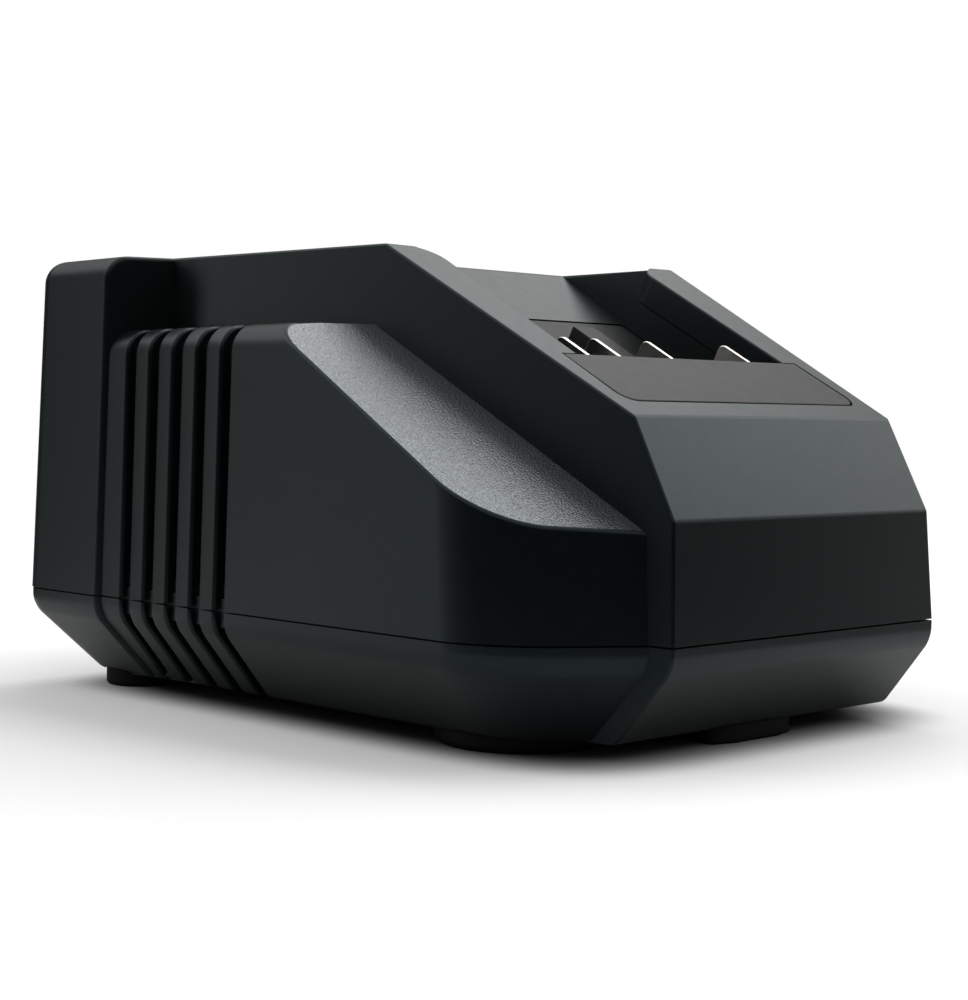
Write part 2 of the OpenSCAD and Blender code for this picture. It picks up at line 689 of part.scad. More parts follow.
// the bar's front face is straight in the middle and turned back at both ends
module foot_bar(z0, z1, gap) {
    end = 11 + gap;
    front = 11.1 - gap;
    translate([0, 0, z0]) linear_extrude(z1 - z0) polygon([[-6, front], [6, front],
        [end, front + 1.4], [end, 15.6 + gap], [-end, 15.6 + gap], [-end, front + 1.4]]);
}
module front_feet() {
    color("#0d0f10") row() both_sides() translate([front_foot.x, front_foot.y, 0])
        foot_disc(front_foot_r, 1.6);
}
module rear_feet() {
    color("#0d0f10") row() both_sides() translate([rear_foot.x, rear_foot.y, 0])
        foot_disc(rear_foot_r, 0.9);
}
module centre_foot() { color("#0d0f10") row() foot_bar(0, foot_height, 0); }
module rating_plate() {
    color("#a9adaf") row() block([-24, 75, base_height], [24, 113, base_height + 0.4]);
}

upper_housing();
lower_housing();
cover_plate();
contact_block();
positive_terminal();
negative_terminal();
thermistor_terminal();
identity_terminal();
contact_screws();
light_guide();
status_leds();
indicator_board();
indicator_lead();
circuit_board();
transformer_core();
transformer_winding();
transformer_bobbin();
bulk_capacitor();
output_capacitors();
mains_choke();
filter_capacitor();
bridge_rectifier();
varistor();
mains_fuse();
fuse_clips();
switch_heat_sink();
switch_transistor();
output_heat_sink();
output_rectifier();
optocouplers();
control_chip();
fan_frame();
fan_rotor();
fan_lead();
inlet_socket();
inlet_pins();
mains_leads();
positive_lead();
negative_lead();
signal_leads();
board_screws();
housing_screws();
front_feet();
rear_feet();
centre_foot();
rating_plate();
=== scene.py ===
import json
import logging
import math
from collections.abc import Callable, Iterator, Sequence
from contextlib import contextmanager
from dataclasses import dataclass, field
from enum import Enum

import bmesh
import bpy
from mathutils import Matrix, Vector

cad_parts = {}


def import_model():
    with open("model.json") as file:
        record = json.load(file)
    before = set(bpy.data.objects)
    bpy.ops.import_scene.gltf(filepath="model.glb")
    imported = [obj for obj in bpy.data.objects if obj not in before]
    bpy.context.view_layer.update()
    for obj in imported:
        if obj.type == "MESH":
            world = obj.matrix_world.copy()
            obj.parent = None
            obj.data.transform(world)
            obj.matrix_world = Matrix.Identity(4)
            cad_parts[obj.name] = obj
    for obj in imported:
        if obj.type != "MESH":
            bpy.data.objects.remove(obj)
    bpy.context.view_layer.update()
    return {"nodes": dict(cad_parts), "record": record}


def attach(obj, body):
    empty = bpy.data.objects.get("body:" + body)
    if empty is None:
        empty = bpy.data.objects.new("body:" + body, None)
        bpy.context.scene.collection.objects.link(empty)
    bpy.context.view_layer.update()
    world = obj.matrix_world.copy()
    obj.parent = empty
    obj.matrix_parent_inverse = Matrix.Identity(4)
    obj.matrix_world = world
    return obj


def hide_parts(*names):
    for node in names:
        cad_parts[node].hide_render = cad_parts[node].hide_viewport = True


# A bench charger for a slide-on tool pack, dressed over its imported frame.
#
# Solids are shaped one unit to the millimetre, with x across the charger, y from the
# front wall backwards and z up from the table. Solid.land() turns them into pieces of
# the frame, in metres, with the origin under the middle of the charger.

log = logging.getLogger("charger")
Triple = tuple[float, float, float]


# ---------------------------------------------------------------- sizes

# Places are (x, y) from the middle and the front wall, and a foot's ends with its radius.
# The inlet's size is its width, depth and height. Heights are from the table.

SCREW_SPOTS = [(-26, 16), (26, 16), (-24, 140), (24, 140)]
BOARD_SPOTS = [(-36, 46), (36, 46), (-36, 118), (36, 118)]
BOARD_TOP = 13.0
BOARD_THICK = 1.6
INLET_SIZE = (26, 16, 17)
INLET_Z = 34.0
FRONT_FOOT = (31.9, 37.0, 15.2)
REAR_FOOT = (42.0, 138.0, 7.0)
FOOT_SEAT = 0.8
LABEL_HALF = 24.0
LABEL_FROM, LABEL_TO = 75.0, 113.0
LABEL_THICK = 0.4


@dataclass(frozen=True)
class CaseSizes:
    """Driving sizes of the case, in millimetres and degrees."""

    width: float = 116.0
    length: float = 157.0
    height: float = 86.0
    seam: float = 19.5
    seam_gap: float = 0.3
    wall: float = 2.4
    base: float = 3.0
    turn_in: float = 16.0
    chamfer: float = 10.4
    wing_chamfer: float = 8.6
    front_chamfer: float = 9.5
    dock_chamfer: float = 10.8
    rear_chamfer: float = 10.0
    dock_width: float = 72.0
    dock_taper: float = 0.094
    dock_draft: float = 0.05
    side_draft: float = 0.03
    facet_draft: float = 0.09
    facet_start: float = 4.4
    facet_end: float = 19.4
    block_front: float = 128.5
    block_root: float = 123.5
    shoulder: float = 71.6
    shoulder_round: float = 5.0
    corner_round: float = 20.0
    front_top: float = 39.2
    steep_top: float = 55.8
    apex: float = 66.0
    slope: float = 28.2
    wing_point: Triple = (47.7, 50.0, 58.7)
    wing_normal: Triple = (0.334, -0.58, 1.0)
    root_lap: float = 3.4

    @property
    def tan_slope(self) -> float:
        """Rise of the dock's slope per millimetre of length."""
        return math.tan(math.radians(self.slope))

    @property
    def steep_y(self) -> float:
        """Where the slope's front edge lies."""
        return self.apex - (self.height - self.steep_top) / self.tan_slope

    @property
    def block_half(self) -> float:
        """Half the width of the rear block."""
        return self.width / 2 + 1.0


@dataclass(frozen=True)
class DockSizes:
    """Sizes of the recess and of what lies in it, in the slope's own frame."""

    depth: float = 13.9
    rail_gap: float = 56.0
    rail_thick: float = 6.1
    rail_end_round: float = 5.5
    sill: float = -42.2
    front_half: float = 34.2
    rear_half: float = 37.1
    rear: float = 26.0
    bed_thick: float = 5.0
    bed_line: float = 2.0
    bed_half: float = 33.0
    clear: float = 0.3
    plate_half: float = 31.5
    plate_length: float = 16.5
    plate_thick: float = 1.6
    plate_land: float = 4.2
    plate_corner: float = 3.0
    plate_gap: float = 0.35
    seat_margin: float = 2.5
    light_half: float = 8.3
    light_near: float = 6.7
    light_far: float = 13.3
    riser_half: float = 26.0
    riser_depth: float = 3.6


@dataclass(frozen=True)
class VentSizes:
    """Sizes of the grooves down each side and of the slots in them."""

    first: float = 88.0
    pitch: float = 7.65
    width: float = 2.7
    depth: float = 1.7
    count: int = 5
    lip: float = 0.75
    start: float = 41.0
    upper_slot: Triple = (24.0, 64.0, 50.0)
    lower_slot: Triple = (7.0, 14.0, 44.0)


@dataclass(frozen=True)
class RimSizes:
    """How far the case's rounds reach from their edges, in millimetres."""

    bend: float = 2.2
    base: float = 1.1
    slope: float = 0.5
    dock: float = 0.5
    block_corner: float = 6.5
    block_top: float = 4.4
    block_front: float = 0.9
    rail: float = 0.45
    crest: float = 0.5
    pocket: float = 0.15


@dataclass(frozen=True)
class InnerSizes:
    """Radii and levels of what the shells hold inside, in millimetres."""

    upper_boss: float = 3.8
    lower_boss: float = 4.6
    board_post: float = 3.0
    thread: float = 1.55
    shank: float = 1.8
    head: float = 3.3
    board_thread: float = 1.25
    block_thread: float = 1.3
    block_screws: tuple[float, float] = (22.0, 8.0)
    thread_depth: float = 14.0
    pilot_depth: float = 4.5
    shank_top: float = 39.0
    head_top: float = 8.0
    recess_wall: float = 2.2
    lip_inset: float = 1.15
    lip_rise: float = 2.5
    tongue_inset: float = 1.35
    tongue_rise: float = 2.2


@dataclass(frozen=True)
class RibSizes:
    """Where the ribs and posts inside the shells stand, in millimetres."""

    fan_x: tuple[float, float] = (44.0, 51.0)
    fan_y: tuple[float, float] = (100.0, 107.0)
    fan_z: tuple[float, float] = (58.3, 70.0)
    fan_thick: float = 2.0
    cradle_x: tuple[float, float] = (43.2, 47.4)
    cradle_y: tuple[float, float] = (90.0, 117.0)
    cradle_top: float = 18.0
    cradle_thick: float = 3.0
    flange_side: tuple[float, float] = (16.2, 18.0)
    flange_front: tuple[float, float] = (13.6, 17.0)
    flange_y: tuple[float, float] = (148.8, 151.3)
    flange_z: tuple[float, float] = (24.0, 45.0)
    post: Triple = (11.5, 10.0, -11.2)
    post_length: float = 8.0
    post_radius: float = 1.4


@dataclass(frozen=True)
class BarSizes:
    """The foot in the middle of the front, whose front face turns back at both ends."""

    half: float = 11.0
    front: float = 11.1
    back: float = 15.6
    flat: float = 6.0
    set_back: float = 1.4


class Half(Enum):
    """Which shell of the case a body belongs to."""

    UPPER = "upper"
    LOWER = "lower"


class Act(Enum):
    """What a boolean does with its second solid."""

    JOIN = "UNION"
    CUT = "DIFFERENCE"
    KEEP = "INTERSECT"


# ---------------------------------------------------------------- shaping

@dataclass(frozen=True)
class Plane:
    """A plane that a wall lies in. Its normal points out of the case."""

    point: Triple
    normal: Triple

    def moved_in(self, depth: float) -> "Plane":
        """The same plane, depth millimetres further inside."""
        inward = Vector(self.normal).normalized() * -depth
        return Plane(tuple(Vector(self.point) + inward), self.normal)


@dataclass(frozen=True)
class Edge:
    """What a picking rule may ask about an edge. turn is in degrees, above 0 if convex."""

    start: Vector
    end: Vector
    turn: float

    @property
    def middle(self) -> Vector:
        """The point halfway along."""
        return (self.start + self.end) / 2

    @property
    def along(self) -> Vector:
        """The edge's direction."""
        return (self.end - self.start).normalized()

    @property
    def length(self) -> float:
        """The edge's length."""
        return (self.end - self.start).length

    @property
    def upright(self) -> bool:
        """Whether the edge stands up."""
        return abs(self.along.z) > 0.9

    def at_level(self, z: float, within: float = 0.02) -> bool:
        """Whether both ends lie at a height."""
        return near(self.start.z, z, within) and near(self.end.z, z, within)

    def seen_from(self, place: Matrix) -> "Edge":
        """The same edge in the frame that place describes."""
        back = place.inverted()
        return Edge(back @ self.start, back @ self.end, self.turn)


Rule = Callable[[Edge], bool]

# An edge of a solid counts as sharp when it turns by more than this many degrees.
SHARP = 60.0


def near(a: float, b: float, within: float = 0.02) -> bool:
    """Whether two sizes agree."""
    return abs(a - b) < within


def tangent(radius: float, turn: float) -> float:
    """How far a round of that radius reaches back from an edge that turns by turn degrees."""
    return radius * math.tan(math.radians(turn) / 2)


def slope_place(case: CaseSizes) -> Matrix:
    """The slope's own frame: origin on its top edge, y up the slope, z square to it."""
    return (Matrix.Translation((0, case.apex, case.height))
            @ Matrix.Rotation(math.radians(case.slope), 4, "X"))


def choose(obj: bpy.types.Object) -> None:
    """Selects one object alone and makes it active.

    Args:
        obj: the object.
    """
    for other in bpy.context.selected_objects:
        other.select_set(False)
    bpy.context.view_layer.objects.active = obj
    obj.select_set(True)


def deselect_all() -> None:
    """Leaves nothing selected."""
    for other in bpy.context.selected_objects:
        other.select_set(False)


SLOTS: dict[str, str] = {}
REPLACED: dict[str, tuple[str, ...]] = {}


class Solid:
    """A closed mesh while it is being shaped, one unit to the millimetre."""

    def __init__(self, obj: bpy.types.Object) -> None:
        """Takes over an object whose place is in its mesh."""
        self.obj = obj

    @classmethod
    def block(cls, low: Triple, high: Triple) -> "Solid":
        """A rectangular block between two corners.

        Args:
            low: the corner with the lowest x, y and z.
            high: the opposite corner.

        Returns:
            The block.
        """
        deselect_all()
        span = [b - a for a, b in zip(low, high)]
        middle = [(a + b) / 2 for a, b in zip(low, high)]
        bpy.ops.mesh.primitive_cube_add(size=1.0, location=middle, scale=span)
        return cls._taken()

    @classmethod
    def rod(cls, base: Triple, height: float, radius: float, sides: int = 48,
            towards: Triple = (0, 0, 1)) -> "Solid":
        """A round rod.

        Args:
            base: the middle of its lower end.
            height: its length.
            radius: its radius.
            sides: how many sides its round has.
            towards: the direction of its axis.

        Returns:
            The rod.
        """
        deselect_all()
        axis = Vector(towards).normalized()
        turn = axis.to_track_quat("Z", "Y").to_euler()
        bpy.ops.mesh.primitive_cylinder_add(
            vertices=sides, radius=radius, depth=height, rotation=turn,
            location=Vector(base) + axis * height / 2)
        return cls._taken()

    @classmethod
    def of_node(cls, node: str, case: CaseSizes) -> "Solid":
        """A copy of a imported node, merged, with its flat faces made whole again.

        Args:
            node: the node's name.
            case: the case's sizes, for the step back to the front wall.

        Returns:
            The copy, in millimetres.
        """
        source = bpy.data.objects[node]
        copy = bpy.data.objects.new("copy", source.data.copy())
        bpy.context.scene.collection.objects.link(copy)
        copy.data.materials.clear()
        copy.data.transform(Matrix.Translation((0, case.length / 2, 0)) @ Matrix.Scale(1000, 4))
        solid = cls(copy)
        with solid.editing():
            bpy.ops.mesh.select_all(action="SELECT")
            bpy.ops.mesh.remove_doubles(threshold=0.0008)
            bpy.ops.mesh.dissolve_limited(angle_limit=math.radians(0.4))
        return solid

    @classmethod
    def _taken(cls) -> "Solid":
        """Wraps the object that an operator has just added."""
        bpy.ops.object.transform_apply(location=True, rotation=True, scale=True)
        return cls(bpy.context.object)

    @contextmanager
    def editing(self) -> Iterator[bmesh.types.BMesh]:
        """Edit mode, with the mesh that is being edited.

        Yields:
            The mesh, which is in edit mode until the block ends.
        """
        choose(self.obj)
        bpy.ops.object.mode_set(mode="EDIT")
        bpy.ops.mesh.select_mode(type="EDGE")
        try:
            yield bmesh.from_edit_mesh(self.obj.data)
        finally:
            bpy.ops.object.mode_set(mode="OBJECT")

    def slice(self, plane: Plane) -> "Solid":
        """Cuts away what lies outside a plane and closes the cut.

        Args:
            plane: the plane. Its normal points at what is cut away.

        Returns:
            The solid itself.
        """
        normal = Vector(plane.normal).normalized()
        with self.editing():
            bpy.ops.mesh.select_all(action="SELECT")
            bpy.ops.mesh.bisect(plane_co=plane.point, plane_no=normal, use_fill=True,
                                clear_outer=True)
        return self

    def soften(self, rule: Rule, reach: float, steps: int = 3,
               place: Matrix | None = None) -> "Solid":
        """Rounds the edges that a rule picks.

        Args:
            rule: says whether an edge is rounded.
            reach: how far the round reaches along the faces.
            steps: how many strips the round has.
            place: the frame that the rule is written in, if it isn't the case's.

        Returns:
            The solid itself.
        """
        picked = 0
        with self.editing() as shape:
            bpy.ops.mesh.select_all(action="DESELECT")
            for edge in shape.edges:
                if len(edge.link_faces) != 2:
                    continue
                start, end = (v.co.copy() for v in edge.verts)
                turn = math.degrees(edge.calc_face_angle_signed(0.0))
                facts = Edge(start, end, turn)
                if rule(facts.seen_from(place) if place else facts):
                    edge.select_set(True)
                    picked += 1
            bmesh.update_edit_mesh(self.obj.data)
            if picked:
                bpy.ops.mesh.bevel(offset=reach, offset_type="OFFSET", segments=steps,
                                   profile=0.5, affect="EDGES", clamp_overlap=False,
                                   loop_slide=True)
        if not picked:
            log.warning("%s: no edge was picked to soften", self.obj.name)
        return self

    def tidy(self) -> "Solid":
        """Makes flat faces whole after booleans.

        Returns:
            The solid itself.
        """
        with self.editing():
            bpy.ops.mesh.select_all(action="SELECT")
            bpy.ops.mesh.dissolve_limited(angle_limit=math.radians(0.2))
        return self

    def combine(self, other: "Solid", act: Act) -> "Solid":
        """Joins, cuts or keeps what two solids share, and uses up the other one.

        Args:
            other: the second solid.
            act: what is done with it.

        Returns:
            The solid itself.
        """
        choose(self.obj)
        bpy.ops.object.modifier_add(type="BOOLEAN")
        modifier = self.obj.modifiers[-1]
        modifier.operation = act.value
        modifier.object = other.obj
        modifier.solver = "MANIFOLD"
        bpy.ops.object.modifier_apply(modifier=modifier.name)
        other.discard()
        return self

    def join(self, *others: "Solid") -> "Solid":
        """Adds other solids.

        Args:
            others: what is added.

        Returns:
            The solid itself.
        """
        for other in others:
            self.combine(other, Act.JOIN)
        return self

    def cut(self, *others: "Solid") -> "Solid":
        """Takes other solids away.

        Args:
            others: what is taken away.

        Returns:
            The solid itself.
        """
        for other in others:
            self.combine(other, Act.CUT)
        return self

    def keep(self, other: "Solid") -> "Solid":
        """Keeps only what lies in the other solid too."""
        return self.combine(other, Act.KEEP)

    def moved(self, place: Matrix) -> "Solid":
        """Puts the solid into a frame."""
        self.obj.data.transform(place)
        return self

    def discard(self) -> None:
        """Removes the solid and its mesh."""
        mesh = self.obj.data
        bpy.data.objects.remove(self.obj)
        bpy.data.meshes.remove(mesh)

    def land(self, name: str, body: str, slot: str, case: CaseSizes, *nodes: str,
             smooth: float = 38.0) -> bpy.types.Object:
        """Makes the solid a piece of the frame, in metres.

        Args:
            name: the piece's name.
            body: the body it rides on.
            slot: the record's material slot that it takes its finish from.
            case: the case's sizes, for the step to the frame's origin.
            nodes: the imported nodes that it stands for.
            smooth: edges that turn by less than this many degrees are shaded smooth.

        Returns:
            The piece.
        """
        piece = self.obj
        piece.name = name
        piece.data.name = name
        piece.data.transform(Matrix.Scale(0.001, 4)
                             @ Matrix.Translation((0, -case.length / 2, 0)))
        choose(piece)
        bpy.ops.object.shade_smooth_by_angle(angle=math.radians(smooth))
        bpy.ops.object.modifier_add(type="WEIGHTED_NORMAL")
        modifier = piece.modifiers[-1]
        modifier.keep_sharp = True
        modifier.weight = 80
        bpy.ops.object.modifier_apply(modifier=modifier.name)
        deselect_all()
        SLOTS[name], REPLACED[name] = slot, nodes
        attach(piece, body)
        if nodes:
            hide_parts(*nodes)
        log.info("%s: %d faces", name, len(piece.data.polygons))
        return piece


def bar_block(low: float, high: float, grow: float) -> Solid:
    """The middle foot's block, with a front face that turns back at both ends.

    Args:
        low: its lower end.
        high: its upper end.
        grow: how far its outline is grown.

    Returns:
        The block.
    """
    bar = BarSizes()
    end, front = bar.half + grow, bar.front - grow
    solid = Solid.block((-end, front, low), (end, bar.back + grow, high))
    for sign in (-1, 1):
        solid.slice(Plane((sign * bar.flat, front, 0), (sign * bar.set_back, bar.flat - end, 0)))
    return solid


# ---------------------------------------------------------------- the two shells

@dataclass(frozen=True)
class CaseForms:
    """The three bodies that the case is made of, each with any inset.

    reach is half the width of the block that each body is hewn from.
    """

    case: CaseSizes = field(default_factory=CaseSizes)
    rim: RimSizes = field(default_factory=RimSizes)
    reach: float = 75.0

    def _upright(self, half: Half, plane: Plane, draft: float, turn_in: float) -> list[Plane]:
        """A wall's planes: drafted above the seam, or upright and turned in below.

        Args:
            half: the shell.
            plane: the wall's level plane at the seam.
            draft: how far it leans in, per millimetre of height.
            turn_in: how far it is turned in at the base.

        Returns:
            The planes that bound that wall.
        """
        x, y, _ = plane.normal
        if half is Half.UPPER:
            return [Plane(plane.point, (x, y, draft))]
        walls = [plane]
        if turn_in:
            foot = (*plane.point[:2], self.case.turn_in)
            drop = self.case.turn_in - self.case.base
            walls.append(Plane(foot, (x * drop, y * drop, -turn_in)))
        return walls

    def _hewn(self, half: Half, planes: Sequence[Plane], top: float, inset: float) -> Solid:
        """A block cut by planes.

        Args:
            half: the shell.
            planes: the walls, with no inset.
            top: how high the body goes in the upper shell.
            inset: how far every plane is moved in.

        Returns:
            The body.
        """
        case, gap = self.case, self.case.seam_gap / 2
        if half is Half.UPPER:
            floor = case.seam + gap if not inset else case.base
            ceiling = top - inset
        else:
            floor = case.base + inset
            ceiling = case.seam - gap if not inset else case.seam + 6
        solid = Solid.block((-self.reach, -5, floor), (self.reach, case.length + 5, ceiling))
        for plane in planes:
            solid.slice(plane.moved_in(inset))
        return solid

    def wings(self, half: Half, inset: float = 0.0) -> Solid:
        """The two low wings, with their textured slopes.

        Args:
            half: the shell.
            inset: how far every wall is moved in.

        Returns:
            The body.
        """
        case, side, dock = self.case, self.case.width / 2, self.case.dock_width / 2
        run, rise = case.facet_end - case.facet_start, side - dock
        long = math.hypot(run, rise)
        planes = [Plane((0, case.block_front + 4 + inset, 0), (0, 1, 0))]
        for sign in (-1, 1):
            planes += self._upright(half, Plane((sign * side, 0, case.seam), (sign, 0, 0)),
                                    case.side_draft, case.chamfer)
            planes += self._upright(
                half, Plane((sign * dock, case.facet_start, case.seam),
                            (sign * run / long, -rise / long, 0)), case.facet_draft,
                case.wing_chamfer)
        planes += self._upright(half, Plane((0, case.facet_start, case.seam), (0, -1, 0)),
                                case.facet_draft, case.front_chamfer)
        solid = self._hewn(half, planes, case.shoulder, inset)
        corner = math.degrees(math.atan2(rise, run))
        reach = tangent(max(case.corner_round - inset, 12), corner)
        solid.soften(lambda e: near(e.turn, corner, 12) and abs(e.along.z) > 0.5
                     and abs(e.middle.x) > dock + 5, reach, 14)
        if half is Half.UPPER:
            top = case.shoulder - inset
            solid.soften(lambda e: e.at_level(top) and e.middle.y < case.block_front,
                         case.shoulder_round - inset, 8)
            for plane in self.slopes():
                solid.slice(plane.moved_in(inset))
            if not inset:
                self._soften_slopes(solid)
        elif not inset:
            self._soften_base(solid)
        return solid

    def _soften_base(self, solid: Solid) -> None:
        """Rounds the bend in a lower body's walls, and its edge on the underside.

        Args:
            solid: the body of the lower shell.
        """
        case, rim = self.case, self.rim
        for level, reach, steps in ((case.turn_in, rim.bend, 6), (case.base, rim.base, 4)):
            solid.soften(lambda e: 15 < e.turn < 80 and e.at_level(level, 0.01), reach, steps)

    def slopes(self) -> list[Plane]:
        """The planes of the wings' textured slopes."""
        (x, y, z), (across, back, up) = self.case.wing_point, self.case.wing_normal
        return [Plane((sign * x, y, z), (sign * across, back, up)) for sign in (-1, 1)]

    def _soften_slopes(self, solid: Solid) -> None:
        """Rounds the outer edge of each slope.

        Args:
            solid: the wings of the upper shell.
        """
        for plane in self.slopes():
            point, normal = Vector(plane.point), Vector(plane.normal).normalized()

            def on_slope(e: Edge) -> bool:
                """Whether an edge bounds the slope on its outer side."""
                off = max(abs((p - point).dot(normal)) for p in (e.start, e.end))
                return off < 0.01 and e.turn > 20 and abs(e.middle.x) > 37

            solid.soften(on_slope, self.rim.slope, 3)

    def dock(self, half: Half, inset: float = 0.0) -> Solid:
        """The raised middle, from the front wall to the rear block.

        Args:
            half: the shell.
            inset: how far every wall is moved in.

        Returns:
            The body.
        """
        case, side = self.case, self.case.dock_width / 2
        planes = [Plane((0, case.block_front + 3, 0), (0, 1, 0))]
        planes += self._upright(half, Plane((0, 0, case.seam), (0, -1, 0)), case.dock_draft,
                                case.dock_chamfer)
        for sign in (-1, 1):
            planes += self._upright(
                half, Plane((sign * side, 0, case.seam), (sign, -case.dock_taper, 0)),
                case.dock_draft, 0)
        if half is Half.UPPER:
            planes += self.faces()
        solid = self._hewn(half, planes, case.height, inset)
        if half is Half.LOWER and not inset:
            self._soften_base(solid)
        if not inset:
            solid.soften(lambda e: e.turn > 20 and e.middle.y < case.block_front
                         and e.middle.z > case.base + 0.1
                         and not near(e.middle.z, case.seam, case.seam_gap), self.rim.dock, 3)
        return solid

    def faces(self) -> list[Plane]:
        """The dock's slope and the steep face in front of it.

        Returns:
            The two planes.
        """
        case = self.case
        lean = case.dock_draft * (case.front_top - case.seam)
        steep = math.atan2(case.steep_top - case.front_top, case.steep_y - lean)
        slope = math.radians(case.slope)
        return [Plane((0, case.apex, case.height), (0, -math.sin(slope), math.cos(slope))),
                Plane((0, case.steep_y, case.steep_top), (0, -math.sin(steep), math.cos(steep)))]

    def rear_block(self, half: Half, inset: float = 0.0) -> Solid:
        """The tall block across the rear, wider than the wings.

        Args:
            half: the shell.
            inset: how far every wall is moved in.

        Returns:
            The body.
        """
        case, side = self.case, self.case.block_half
        root = case.dock_width / 2 + case.dock_taper * case.block_root - case.root_lap
        run, rise = side - root, case.block_front - case.block_root
        planes = [Plane((0, case.block_root, 0), (0, -1, 0))]
        planes += self._upright(half, Plane((0, case.length, case.seam), (0, 1, 0)),
                                case.side_draft, case.rear_chamfer)
        for sign in (-1, 1):
            planes += self._upright(half, Plane((sign * side, 0, case.seam), (sign, 0, 0)),
                                    case.side_draft, case.chamfer)
            planes.append(Plane((sign * root, case.block_root, 0), (sign * rise, -run, 0)))
        solid = self._hewn(half, planes, case.height, inset)
        solid.soften(lambda e: abs(e.along.z) > 0.5 and e.middle.y > case.length - 16,
                     max(self.rim.block_corner - inset, 2), 8)
        if inset:
            return solid
        if half is Half.UPPER:
            solid.soften(lambda e: e.at_level(case.height)
                         and e.middle.y > case.block_front + 1, self.rim.block_top, 8)
        else:
            self._soften_base(solid)

        def on_front(spot: Vector) -> bool:
            """Whether a point lies on either half of the slanted front."""
            return near((abs(spot.x) - root) * rise - (spot.y - case.block_root) * run, 0, 0.05)
        solid.soften(lambda e: on_front(e.start) and on_front(e.end) and e.turn > 30
                     and abs(e.middle.x) > root + 1 and e.middle.z > case.base + 0.1
                     and not near(e.middle.z, case.seam, case.seam_gap),
                     self.rim.block_front, 3)
        return solid

    def form(self, half: Half, inset: float = 0.0) -> Solid:
        """The three bodies as one."""
        return self.wings(half, inset).join(self.dock(half, inset), self.rear_block(half, inset))


